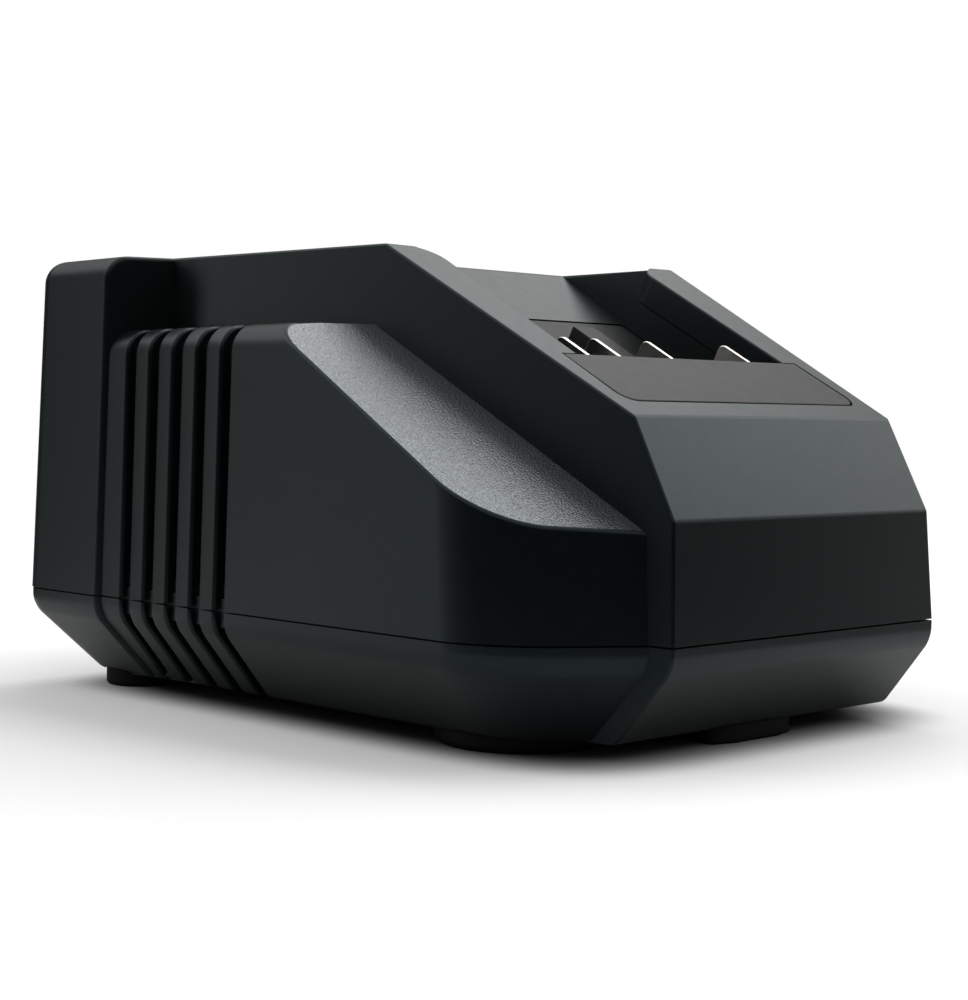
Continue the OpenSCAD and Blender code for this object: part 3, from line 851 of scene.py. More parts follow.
@dataclass(frozen=True)
class CaseShells:
    """The upper and lower housing."""

    case: CaseSizes = field(default_factory=CaseSizes)
    dock: DockSizes = field(default_factory=DockSizes)
    vent: VentSizes = field(default_factory=VentSizes)
    rim: RimSizes = field(default_factory=RimSizes)
    inner: InnerSizes = field(default_factory=InnerSizes)
    rib: RibSizes = field(default_factory=RibSizes)

    @property
    def forms(self) -> CaseForms:
        """The case's bodies."""
        return CaseForms(self.case, self.rim)

    def recess_prism(self, grow: float, low: float, high: float, front: float) -> Solid:
        """The recess's tapered outline, extruded square to the slope.

        Args:
            grow: how far the outline is grown.
            low: its lower end.
            high: its upper end.
            front: where it starts, up the slope.

        Returns:
            The prism, in the case's frame.
        """
        dock = self.dock
        solid = Solid.block((-50, front - grow, low), (50, dock.rear + grow, high))
        long = dock.rear - dock.sill
        lean = (dock.rear_half - dock.front_half) / long
        for sign in (-1, 1):
            solid.slice(Plane((sign * dock.front_half, dock.sill, 0),
                              (sign, -lean, 0)).moved_in(-grow))
        return solid.moved(slope_place(self.case))

    def recess(self) -> list[Solid]:
        """The space that a pack slides into: under the rails, between them and behind.

        Returns:
            The space under the rails, and the one between and behind them.
        """
        dock = self.dock
        half, place = dock.rail_gap / 2, slope_place(self.case)
        between = Solid.block((-half, dock.sill, -dock.depth), (half, 1, 20)).moved(place)
        between.join(self.recess_prism(0, -dock.depth, 20, 0)).tidy()
        between.soften(lambda e: near(abs(e.middle.x), half) and near(e.middle.y, 0)
                       and e.upright, dock.rail_end_round, 10, place)
        return [self.recess_prism(0, -dock.depth, -dock.rail_thick, dock.sill), between]

    def windows(self) -> list[Solid]:
        """Where the contact block, the plate and the light guide go through.

        Returns:
            The cutters, in the case's frame.
        """
        dock, place = self.dock, slope_place(self.case)
        under = -dock.depth - dock.bed_thick - 0.5
        riser = dock.riser_half + dock.clear
        bed = Solid.block((-dock.bed_half - dock.clear, dock.sill - 3, under),
                          (dock.bed_half + dock.clear, dock.bed_line + dock.clear,
                           0.5 - dock.depth))
        tall = Solid.block((-riser, dock.sill - dock.riser_depth - dock.clear, under),
                           (riser, dock.sill + 1, 0.5 - dock.plate_thick))
        gap = dock.plate_gap
        front = dock.sill - dock.plate_length - gap
        pocket = Solid.block((-dock.plate_half - gap, front, -dock.plate_thick),
                             (dock.plate_half + gap, dock.sill + 0.1, 10))
        pocket.soften(lambda e: e.upright and near(e.middle.y, front),
                      dock.plate_corner + gap, 8)
        light = Solid.block((-dock.light_half, dock.sill - dock.light_far, -8),
                            (dock.light_half, dock.sill - dock.light_near, 1))
        return [s.moved(place) for s in (bed, tall, pocket, light)]

    def slabs(self, low: float, high: float, inner: float) -> list[Solid]:
        """One slab for every vent on both sides, from inner to past the wall.

        Args:
            low: their lower end.
            high: their upper end.
            inner: how far from the middle they start.

        Returns:
            Two slabs for each vent.
        """
        vent, outer = self.vent, self.case.width / 2 + 4
        made = []
        for index in range(vent.count):
            y = vent.first + index * vent.pitch
            for a, b in ((inner, outer), (-outer, -inner)):
                made.append(Solid.block((a, y, low), (b, y + vent.width, high)))
        return made

    def grooves(self, half: Half, low: float, high: float) -> list[Solid]:
        """The grooves down the sides: slabs less the case's form at the groove's depth.

        Args:
            half: the shell.
            low: the slabs' lower end.
            high: their upper end.

        Returns:
            One cutter for each groove.
        """
        made = []
        for slab in self.slabs(low, high, self.vent.start):
            made.append(slab.cut(self.forms.wings(half, self.vent.depth), self.forms.dock(half)))
        return made

    def groove_rim(self, e: Edge) -> bool:
        """Whether an edge is the outer rim of a groove.

        Args:
            e: the edge.

        Returns:
            True if it is.
        """
        offset = (e.middle.y - self.vent.first) % self.vent.pitch
        last = self.vent.first + self.vent.count * self.vent.pitch
        on_wall = near(offset, 0, 0.01) or near(offset, self.vent.pitch, 0.01) \
            or near(offset, self.vent.width, 0.01)
        level = abs(e.along.y) < 0.02
        return on_wall and level and e.turn > SHARP and self.vent.first - 1 < e.middle.y < last

    def bosses(self, low: float, high: float, radius: float) -> list[Solid]:
        """Four screw bosses."""
        return [Solid.rod((x, y, low), high - low, radius, 32) for x, y in SCREW_SPOTS]

    def hollow(self) -> Solid:
        """What is inside the upper housing, less the recess's walls and the plate's seat.

        Returns:
            The cutter.
        """
        dock, place = self.dock, slope_place(self.case)
        half = dock.plate_half + dock.seat_margin
        front = dock.sill - dock.plate_length - dock.seat_margin
        seat = Solid.block((-half, front, -dock.plate_land), (half, dock.sill, 5))
        walls = self.recess_prism(self.inner.recess_wall, -dock.depth - dock.bed_thick, 25,
                                  dock.sill)
        return self.forms.form(Half.UPPER, self.case.wall).cut(walls, seat.moved(place))

    def upper(self) -> bpy.types.Object:
        """The upper housing, from its outer form inwards.

        Returns:
            The piece.
        """
        case, dock, inner, place = self.case, self.dock, self.inner, slope_place(self.case)
        shell = self.forms.form(Half.UPPER).cut(*self.recess(), *self.windows()).tidy()
        self.soften_dock(shell)
        shell.cut(*self.grooves(Half.UPPER, case.seam - 1, case.shoulder + 1)).tidy()
        shell.soften(self.groove_rim, self.vent.lip, 3)
        shell.cut(self.hollow())
        ceiling = Solid.block((-70, -5, 0), (70, case.length + 5, case.seam + inner.lip_rise))
        shell.cut(self.forms.form(Half.UPPER, inner.lip_inset).keep(ceiling))
        for boss in self.bosses(case.seam + 0.2, case.height, inner.upper_boss):
            shell.join(boss.keep(self.forms.form(Half.UPPER, case.wall / 2)).cut(*self.recess()))
        shell.join(*self.ribs())
        shell.cut(*self.bosses(case.seam - 1, case.seam + inner.thread_depth, inner.thread))
        shell.cut(*self.slabs(*self.vent.upper_slot))
        half_w, half_h = INLET_SIZE[0] / 2 + dock.clear, INLET_SIZE[2] / 2 + dock.clear
        shell.cut(Solid.block((-half_w, case.length - 8, INLET_Z - half_h),
                              (half_w, case.length + 1, INLET_Z + half_h)))
        across, up = inner.block_screws
        for x in (-across, across):
            pilot = Solid.rod((x, up, -dock.depth - dock.bed_thick - 1), inner.pilot_depth,
                              inner.block_thread, 24)
            shell.cut(pilot.moved(place))
        return shell.land("upper_case", "case", "case_plastic", case, "upper_housing")

    def ribs(self) -> list[Solid]:
        """Ribs over the fan, slots for the inlet's flange and posts for the lamps' board.

        Returns:
            What is joined to the shell.
        """
        case, rib = self.case, self.rib
        made = [Solid.block((rib.fan_x[0], y, rib.fan_z[0]),
                            (rib.fan_x[1], y + rib.fan_thick, rib.fan_z[1])) for y in rib.fan_y]
        for sign in (-1, 1):
            for across, end in ((rib.flange_side, case.length - 2),
                                (rib.flange_front, rib.flange_y[1])):
                xs = sorted(sign * x for x in across)
                made.append(Solid.block((xs[0], rib.flange_y[0], rib.flange_z[0]),
                                        (xs[1], end, rib.flange_z[1])))
            x, ahead, level = rib.post
            post = Solid.rod((sign * x, self.dock.sill - ahead, level), rib.post_length,
                             rib.post_radius, 20)
            made.append(post.moved(slope_place(case)))
        return made

    def soften_dock(self, shell: Solid) -> None:
        """Rounds every rim of the recess and of the plate's pocket.

        Args:
            shell: the upper housing.
        """
        dock, place = self.dock, slope_place(self.case)
        half = dock.rail_gap / 2

        def rail_rim(e: Edge) -> bool:
            """Whether an edge bounds a rail's top or underside towards the recess.

            Args:
                e: the edge, in the slope's frame.

            Returns:
                True if it does.
            """
            level = near(e.start.z, e.end.z) and (near(e.middle.z, 0, 0.03)
                                                  or near(e.middle.z, -dock.rail_thick, 0.03))
            inside = half - 0.05 < abs(e.middle.x) < dock.rear_half + 0.2
            return level and inside and e.turn > SHARP and dock.sill + 0.3 < e.middle.y < 2
        shell.soften(rail_rim, self.rim.rail, 3, place)

        def crest(e: Edge) -> bool:
            """Whether an edge bounds the recess where it runs out on the flat top."""
            return e.at_level(self.case.height, 0.03) and abs(e.middle.x) < dock.rear_half + 1 \
                and self.case.apex + 0.5 < e.middle.y < 95 and e.turn > 15
        shell.soften(crest, self.rim.crest, 3)

        def plate_rim(e: Edge) -> bool:
            """Whether an edge is the rim of the plate's pocket."""
            return e.at_level(0) and e.turn > SHARP and e.middle.y < dock.sill - 0.2 \
                and abs(e.middle.x) < dock.plate_half + 0.6
        shell.soften(plate_rim, self.rim.pocket, 2, place)

    def lower(self) -> bpy.types.Object:
        """The lower housing.

        Returns:
            The piece.
        """
        case, inner, rib = self.case, self.inner, self.rib
        shell = self.forms.form(Half.LOWER)
        shell.cut(*self.grooves(Half.LOWER, case.base - 1, case.seam + 1)).tidy()
        shell.soften(self.groove_rim, self.vent.lip, 3)
        shell.cut(self.forms.form(Half.LOWER, case.wall))
        tongue = self.forms.form(Half.LOWER, inner.tongue_inset).keep(
            Solid.block((-70, -5, case.turn_in + 0.5),
                        (70, case.length + 5, case.seam + inner.tongue_rise)))
        shell.join(tongue.cut(self.forms.form(Half.LOWER, case.wall)))
        floor = case.base + case.wall - 1
        shell.join(*self.bosses(floor, case.seam, inner.lower_boss))
        shell.join(*[Solid.rod((x, y, floor), BOARD_TOP - BOARD_THICK - floor, inner.board_post, 24)
                     for x, y in BOARD_SPOTS])
        shell.join(*[Solid.block((rib.cradle_x[0], y, floor),
                                 (rib.cradle_x[1], y + rib.cradle_thick, rib.cradle_top))
                     for y in rib.cradle_y])
        shell.cut(*self.bosses(-1, inner.shank_top, inner.shank),
                  *self.bosses(-1, inner.head_top, inner.head))
        shell.cut(*[Solid.rod((x, y, floor + 1.6), 10, inner.board_thread, 20)
                    for x, y in BOARD_SPOTS])
        seat, clear = case.base + FOOT_SEAT, self.dock.clear
        for sign in (-1, 1):
            shell.cut(*[Solid.rod((sign * x, y, 0), seat, radius + clear, 72)
                        for x, y, radius in (FRONT_FOOT, REAR_FOOT)])
        label = Solid.block((-LABEL_HALF - clear, LABEL_FROM - clear, 0),
                            (LABEL_HALF + clear, LABEL_TO + clear, case.base + LABEL_THICK))
        shell.cut(bar_block(-1, seat, clear), label)
        shell.cut(*self.slabs(*self.vent.lower_slot))
        return shell.land("lower_case", "case", "case_plastic", case, "lower_housing")


# ---------------------------------------------------------------- finishes

Colour = tuple[float, float, float]


class Signal:
    """A value on its way through a material, with the operators that are used."""

    def __init__(self, graph: "Graph", socket: bpy.types.NodeSocket) -> None:
        """Wraps one socket of a graph."""
        self.graph = graph
        self.socket = socket

    def _maths(self, operation: str, a: "Signal | float", b: "Signal | float") -> "Signal":
        """One Math node on two values."""
        return self.graph.value("ShaderNodeMath", {"operation": operation}, {0: a, 1: b})

    def __add__(self, other: "Signal | float") -> "Signal":
        """self + other."""
        return self._maths("ADD", self, other)

    def __radd__(self, other: float) -> "Signal":
        """other + self."""
        return self._maths("ADD", other, self)

    def __sub__(self, other: "Signal | float") -> "Signal":
        """self - other."""
        return self._maths("SUBTRACT", self, other)

    def __rsub__(self, other: float) -> "Signal":
        """other - self."""
        return self._maths("SUBTRACT", other, self)

    def __mul__(self, other: "Signal | float") -> "Signal":
        """self * other."""
        return self._maths("MULTIPLY", self, other)

    def __rmul__(self, other: float) -> "Signal":
        """other * self."""
        return self._maths("MULTIPLY", other, self)

    def over(self, level: float, width: float) -> "Signal":
        """From 0 to 1 as the value passes a level, over a width."""
        return self.graph.value("ShaderNodeMapRange", {"interpolation_type": "SMOOTHSTEP"},
                                {0: self, 1: level, 2: level + width, 3: 0.0, 4: 1.0})


Feed = Signal | bpy.types.NodeSocket | float | Colour


class Graph:
    """The nodes of one material."""

    def __init__(self, name: str) -> None:
        """A new material with its surface shader and the object's coordinates.

        Args:
            name: the material's name.
        """
        self.material = bpy.data.materials.new(name)
        self.material.use_nodes = True
        self.tree = self.material.node_tree
        self.shader = self.tree.nodes["Principled BSDF"]
        self.place = self.add("ShaderNodeTexCoord").outputs["Object"]

    def add(self, kind: str, settings: dict[str, object] | None = None,
            inputs: dict[int | str, Feed] | None = None) -> bpy.types.Node:
        """Adds a node.

        Args:
            kind: the node's type.
            settings: its settings, which are set first.
            inputs: values or links of its sockets, by name or number.

        Returns:
            The node.
        """
        node = self.tree.nodes.new(kind)
        for key, value in (settings or {}).items():
            setattr(node, key, value)
        for key, value in (inputs or {}).items():
            self.feed(node.inputs[key], value)
        return node

    def feed(self, socket: bpy.types.NodeSocket, value: Feed) -> None:
        """Links a socket, or sets its value.

        Args:
            socket: the socket.
            value: a number, a colour, a signal or another node's socket.
        """
        if isinstance(value, Signal):
            self.tree.links.new(value.socket, socket)
        elif isinstance(value, bpy.types.NodeSocket):
            self.tree.links.new(value, socket)
        elif isinstance(value, tuple) and len(socket.default_value) == 4:
            socket.default_value = (*value, 1.0)
        else:
            socket.default_value = value

    def value(self, kind: str, settings: dict[str, object] | None = None,
              inputs: dict[int | str, Feed] | None = None, output: int | str = 0) -> Signal:
        """Adds a node and gives one of its outputs as a value."""
        return Signal(self, self.add(kind, settings, inputs).outputs[output])

    def noise(self, scale: float, detail: float = 2.0, rough: float = 0.5,
              stretch: Triple = (1.0, 1.0, 1.0)) -> Signal:
        """Noise on the object's coordinates, from 0 to 1.

        Args:
            scale: waves per metre.
            detail: how many finer octaves it has.
            rough: how strong they are.
            stretch: what each axis is multiplied by.

        Returns:
            The noise.
        """
        spot = self.add("ShaderNodeMapping", None, {"Vector": self.place, "Scale": stretch})
        return self.value("ShaderNodeTexNoise", None,
                          {"Vector": spot.outputs[0], "Scale": scale, "Detail": detail,
                           "Roughness": rough})

    def along(self, axis: int) -> Signal:
        """The object's coordinate along an axis, in metres."""
        return self.value("ShaderNodeSeparateXYZ", None, {0: self.place}, axis)

    def blend(self, factor: Feed, first: Feed, second: Feed) -> bpy.types.NodeSocket:
        """A colour between two colours."""
        mix = self.add("ShaderNodeMix", {"data_type": "RGBA"}, {0: factor, 6: first, 7: second})
        return mix.outputs[2]

    def bump(self, height: Signal, distance: float, strength: float,
             under: bpy.types.NodeSocket | None = None) -> bpy.types.NodeSocket:
        """A bumped normal, over another one if given.

        Args:
            height: the relief, from 0 to 1.
            distance: how high 1 is, in metres.
            strength: how much of it shows.
            under: a normal that it is added to.

        Returns:
            The normal.
        """
        sockets: dict[int | str, Feed] = {"Height": height, "Distance": distance,
                                          "Strength": strength}
        if under is not None:
            sockets["Normal"] = under
        return self.add("ShaderNodeBump", None, sockets).outputs["Normal"]

    def surface(self, **inputs: Feed) -> None:
        """Feeds the shader's sockets. An underscore stands for a space in their names."""
        for key, value in inputs.items():
            self.feed(self.shader.inputs[key.replace("_", " ")], value)


@dataclass(frozen=True)
class Finish:
    """A finish. Its colour is at full light, and sizes are in millimetres."""

    name: str
    colour: Colour
    rough: float = 0.5

    def made(self) -> bpy.types.Material:
        """The material, made once.

        Returns:
            The material.
        """
        known = bpy.data.materials.get(self.name)
        if known:
            return known
        graph = Graph(self.name)
        self.paint(graph)
        return graph.material

    def paint(self, graph: Graph) -> None:
        """Lays the finish's nodes."""
        raise NotImplementedError

    def shade(self, amount: float) -> Colour:
        """The colour, made lighter or darker."""
        return tuple(min(c * amount, 1.0) for c in self.colour)


@dataclass(frozen=True)
class Moulded(Finish):
    """Moulded plastic or rubber: a fine grain, a faint mottle and matt and glossy spots."""

    specular: float = 0.25
    tint: Colour = (1.0, 1.0, 1.0)
    grain: float = 0.3
    relief: float = 0.010
    mottle: float = 0.2
    glints: float = 0.06

    def paint(self, graph: Graph) -> None:
        """Grain in two sizes, over soft flow marks.

        Args:
            graph: the material's nodes.
        """
        fine = graph.noise(1000 / self.grain, 1.5, 0.6)
        flow = graph.noise(55, 3.0, 0.55)
        haze = graph.noise(420, 2.0, 0.5)
        tone = 0.6 * flow + 0.4 * haze
        normal = graph.bump(fine, self.relief / 1000, 1.0)
        graph.surface(
            Base_Color=graph.blend(tone, self.shade(1 - self.mottle), self.shade(1 + self.mottle)),
            Roughness=self.rough + self.glints * (haze - 0.5) + self.glints * (fine - 0.5),
            Specular_IOR_Level=self.specular, Specular_Tint=self.tint, Normal=normal)


@dataclass(frozen=True)
class Sparked(Finish):
    """A coarser spark texture, with small bright facets."""

    specular: float = 0.35
    tint: Colour = (1.0, 1.0, 1.0)
    index: float = 1.8
    grain: float = 0.36
    relief: float = 0.062

    def paint(self, graph: Graph) -> None:
        """Cells of uneven height under a fine grain.

        Args:
            graph: the material's nodes.
        """
        cells = graph.value("ShaderNodeTexVoronoi", {"feature": "F1"},
                            {"Vector": graph.place, "Scale": 1000 / self.grain})
        fine = graph.noise(3200, 2.0, 0.6)
        flow = graph.noise(60, 3.0, 0.5)
        relief = graph.bump(fine, 0.006 / 1000, 1.0)
        graph.surface(
            Base_Color=graph.blend(flow, self.shade(0.85), self.shade(1.2)),
            Roughness=self.rough + 0.16 * (fine - 0.5),
            Specular_IOR_Level=self.specular, Specular_Tint=self.tint, IOR=self.index,
            Normal=graph.bump(1 - cells, self.relief / 1000, 1.0, relief))


@dataclass(frozen=True)
class Plated(Finish):
    """Bare or plated metal, with drawing lines along one axis."""

    rough: float = 0.25
    stretch: Triple = (1.0, 1.0, 0.05)
    lines: float = 2600
    relief: float = 0.003

    def paint(self, graph: Graph) -> None:
        """Fine lines, with dull patches.

        Args:
            graph: the material's nodes.
        """
        drawn = graph.noise(self.lines, 2.0, 0.6, self.stretch)
        dull = graph.noise(160, 3.0, 0.6)
        graph.surface(
            Base_Color=graph.blend(dull, self.shade(0.82), self.shade(1.06)),
            Roughness=self.rough + 0.14 * (drawn - 0.5) + 0.2 * (dull - 0.5),
            Metallic=1.0, Normal=graph.bump(drawn, self.relief / 1000, 1.0))


@dataclass(frozen=True)
class Wound(Finish):
    """Turns of wire or tape, a pitch apart along an axis."""

    second: Colour = (0.2, 0.1, 0.03)
    axis: int = 1
    pitch: float = 0.6
    metal: float = 0.0
    relief: float = 0.12

    def paint(self, graph: Graph) -> None:
        """Round turns, with dark joints.

        Args:
            graph: the material's nodes.
        """
        phase = graph.along(self.axis) * (2000 * math.pi / self.pitch)
        wave = graph.value("ShaderNodeMath", {"operation": "SINE"}, {0: phase})
        turns = 0.5 * wave + 0.5
        uneven = graph.noise(300, 2.0, 0.5)
        graph.surface(
            Base_Color=graph.blend(turns * (0.7 + 0.6 * uneven), self.second, self.colour),
            Roughness=self.rough + 0.2 * (uneven - 0.5), Metallic=self.metal,
            Normal=graph.bump(turns, self.relief / 1000, 0.8))


@dataclass(frozen=True)
class Laminate(Finish):
    """A coated circuit board, with tracks under the coat."""

    track: Colour = (0.07, 0.30, 0.12)

    def paint(self, graph: Graph) -> None:
        """Square-cornered tracks from cells, under a glossy coat.

        Args:
            graph: the material's nodes.
        """
        cells = graph.value("ShaderNodeTexVoronoi", {"feature": "F1", "distance": "CHEBYCHEV"},
                            {"Vector": graph.place, "Scale": 240.0, "Randomness": 0.8})
        tracks = cells.over(0.42, 0.03)
        weave = graph.noise(1400, 2.0, 0.5)
        graph.surface(
            Base_Color=graph.blend(tracks, self.colour, self.track),
            Roughness=self.rough + 0.12 * (weave - 0.5),
            Normal=graph.bump(tracks + 0.2 * weave, 0.03 / 1000, 0.7))


@dataclass(frozen=True)
class Clear(Finish):
    """Clear or tinted plastic, a little hazy."""

    passing: float = 0.9

    def paint(self, graph: Graph) -> None:
        """Haze and faint flow lines.

        Args:
            graph: the material's nodes.
        """
        haze = graph.noise(240, 2.0, 0.5)
        graph.surface(
            Base_Color=graph.blend(haze, self.shade(0.93), self.colour),
            Roughness=self.rough + 0.1 * haze, IOR=1.49,
            Transmission_Weight=self.passing,
            Normal=graph.bump(haze, 0.01 / 1000, 0.5))


@dataclass(frozen=True)
class Foil(Finish):
    """Bare label stock: brushed film with a soft sheen."""

    metal: float = 0.6

    def paint(self, graph: Graph) -> None:
        """Brushing across the film, with faint creases.

        Args:
            graph: the material's nodes.
        """
        brushed = graph.noise(1800, 2.0, 0.6, (0.04, 1.0, 1.0))
        crease = graph.noise(90, 3.0, 0.5)
        graph.surface(
            Base_Color=graph.blend(brushed, self.shade(0.86), self.shade(1.08)),
            Roughness=self.rough + 0.14 * (brushed - 0.5), Metallic=self.metal,
            Normal=graph.bump(crease, 0.05 / 1000, 0.5))


BLACK: Colour = (0.0011, 0.0018, 0.0020)
SHEEN: Colour = (0.74, 0.98, 1.0)
SPARKED = Sparked("case_spark_texture", BLACK, 0.34, specular=0.75, tint=(0.92, 0.99, 1.0))

FINISHES: dict[str, Finish] = {
    "case_plastic": Moulded("case_grain", BLACK, 0.38, tint=SHEEN),
    "plate_plastic": Moulded("plate_satin", (0.0070, 0.0070, 0.0066), 0.45, specular=0.16,
                             grain=0.6, relief=0.004),
    "contact_plastic": Moulded("glass_filled_black", (0.010, 0.011, 0.012), 0.52, specular=0.18,
                               grain=0.22, relief=0.012),
    "blade_metal": Plated("plated_blade", (0.86, 0.83, 0.77), 0.20),
    "screw_steel": Plated("zinc_steel", (0.58, 0.58, 0.60), 0.32),
    "foot_rubber": Moulded("black_rubber", (0.004, 0.004, 0.0045), 0.72, specular=0.10,
                           grain=0.5, relief=0.02),
    "board_laminate": Laminate("green_laminate", (0.02, 0.12, 0.05), 0.32),
    "clear_plastic": Clear("clear_guide", (0.86, 0.89, 0.89), 0.12),
    "led_plastic": Clear("tinted_lamp", (0.75, 0.10, 0.07), 0.15, 0.5),
    "ferrite": Moulded("sintered_ferrite", (0.045, 0.045, 0.048), 0.62, grain=0.2,
                       relief=0.02, mottle=0.35),
    "winding_tape": Wound("amber_tape", (0.55, 0.38, 0.06), 0.3, (0.32, 0.2, 0.03), 1, 4.0,
                          relief=0.05),
    "black_moulding": Moulded("black_component", (0.016, 0.017, 0.018), 0.48),
    "capacitor_sleeve": Moulded("shrink_sleeve", (0.03, 0.06, 0.16), 0.3, specular=0.5,
                                grain=2.0, relief=0.01),
    "copper_wire": Wound("enamelled_copper", (0.72, 0.36, 0.14), 0.28, (0.2, 0.08, 0.03), 0,
                         0.7, 1.0),
    "film_capacitor": Moulded("yellow_case", (0.62, 0.50, 0.08), 0.35, specular=0.5),
    "varistor_coat": Moulded("blue_epoxy", (0.04, 0.16, 0.42), 0.28, specular=0.5, grain=1.2,
                             relief=0.03),
    "fuse_glass": Moulded("white_ceramic", (0.80, 0.80, 0.76), 0.3, specular=0.5, mottle=0.06),
    "sink_aluminium": Plated("extruded_aluminium", (0.72, 0.73, 0.74), 0.34, lines=1200),
    "white_moulding": Moulded("white_component", (0.75, 0.75, 0.72), 0.42, mottle=0.05),
    "fan_plastic": Moulded("fan_black", (0.018, 0.019, 0.020), 0.42),
    "red_insulation": Moulded("red_wire", (0.50, 0.03, 0.02), 0.35, specular=0.5),
    "black_insulation": Moulded("black_wire", (0.01, 0.01, 0.01), 0.35, specular=0.5),
    "yellow_insulation": Moulded("yellow_wire", (0.60, 0.42, 0.04), 0.35, specular=0.5),
    "brown_insulation": Moulded("brown_wire", (0.16, 0.07, 0.03), 0.35, specular=0.5),
    "grey_insulation": Moulded("grey_wire", (0.30, 0.31, 0.32), 0.35, specular=0.5),
    "plate_foil": Foil("bare_label", (0.42, 0.43, 0.44), 0.42),
}


class Dresser:
    """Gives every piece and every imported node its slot's finish."""

    def __init__(self, record: dict) -> None:
        """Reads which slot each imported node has."""
        self.slots = {part["node"]: part["material_slot"] for part in record["subparts"]}

    def node(self, name: str, obj: bpy.types.Object) -> None:
        """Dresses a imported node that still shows."""
        self.wear(obj, FINISHES[self.slots[name]].made())
        log.info("%s: %s", name, self.slots[name])

    def wear(self, obj: bpy.types.Object, *materials: bpy.types.Material) -> None:
        """Sets an object's materials, in their order.

        Args:
            obj: the object.
            materials: what it wears.
        """
        for index, material in enumerate(materials):
            if index < len(obj.material_slots):
                obj.material_slots[index].material = material
            else:
                obj.data.materials.append(material)

    def slope_texture(self, shell: bpy.types.Object, planes: Sequence[Plane],
                      case: CaseSizes) -> None:
        """Gives the upper case its grain, and the spark texture on the wings' slopes.

        Args:
            shell: the upper case.
            planes: the slopes' planes.
            case: the case's sizes, for the step back to the front wall.
        """
        self.wear(shell, FINISHES["case_plastic"].made(), SPARKED.made())
        for plane in planes:
            normal = Vector(plane.normal).normalized()
            point = (Vector(plane.point) - Vector((0, case.length / 2, 0))) / 1000
            for face in shell.data.polygons:
                off = (face.center - point).dot(normal)
                if face.normal.dot(normal) > 0.999 and abs(off) < 0.0002:
                    face.material_index = 1


# ---------------------------------------------------------------- what fits the case

@dataclass(frozen=True)
class DockPieces:
    """The cover plate, the contact block and its blades."""

    case: CaseSizes = field(default_factory=CaseSizes)
    dock: DockSizes = field(default_factory=DockSizes)
    plate_rim: float = 0.25
    carrier_edge: float = 0.2
    blade_edge: float = 0.12
    blades: tuple[str, ...] = ("positive_terminal", "thermistor_terminal", "identity_terminal",
                               "negative_terminal")

    def cover_plate(self) -> bpy.types.Object:
        """The inset plate, with two round corners and a soft rim.

        Returns:
            The piece.
        """
        dock = self.dock
        front = dock.sill - dock.plate_length
        solid = Solid.block((-dock.plate_half, front, -dock.plate_thick),
                            (dock.plate_half, dock.sill, 0))
        solid.soften(lambda e: e.upright and near(e.middle.y, front),
                     dock.plate_corner, 8)
        solid.soften(lambda e: e.at_level(0), self.plate_rim, 3)
        solid.moved(slope_place(self.case))
        return solid.land("inset_plate", "case", "plate_plastic", self.case, "cover_plate")

    def contact_block(self) -> bpy.types.Object:
        """The moulding that carries the blades, with soft edges.

        Returns:
            The piece.
        """
        solid = Solid.of_node("contact_block", self.case)
        solid.soften(lambda e: e.turn > SHARP, self.carrier_edge, 2)
        return solid.land("blade_carrier", "case", "contact_plastic", self.case, "contact_block")

    def blade(self, node: str) -> bpy.types.Object:
        """One blade, with its stamped edges broken.

        Args:
            node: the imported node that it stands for.

        Returns:
            The piece.
        """
        solid = Solid.of_node(node, self.case)
        solid.soften(lambda e: e.turn > SHARP, self.blade_edge, 2)
        return solid.land(node.replace("terminal", "blade"), "case", "blade_metal", self.case,
                          node)

    def build(self) -> list[bpy.types.Object]:
        """All the dock's pieces."""
        return [self.cover_plate(), self.contact_block(), *(self.blade(n) for n in self.blades)]


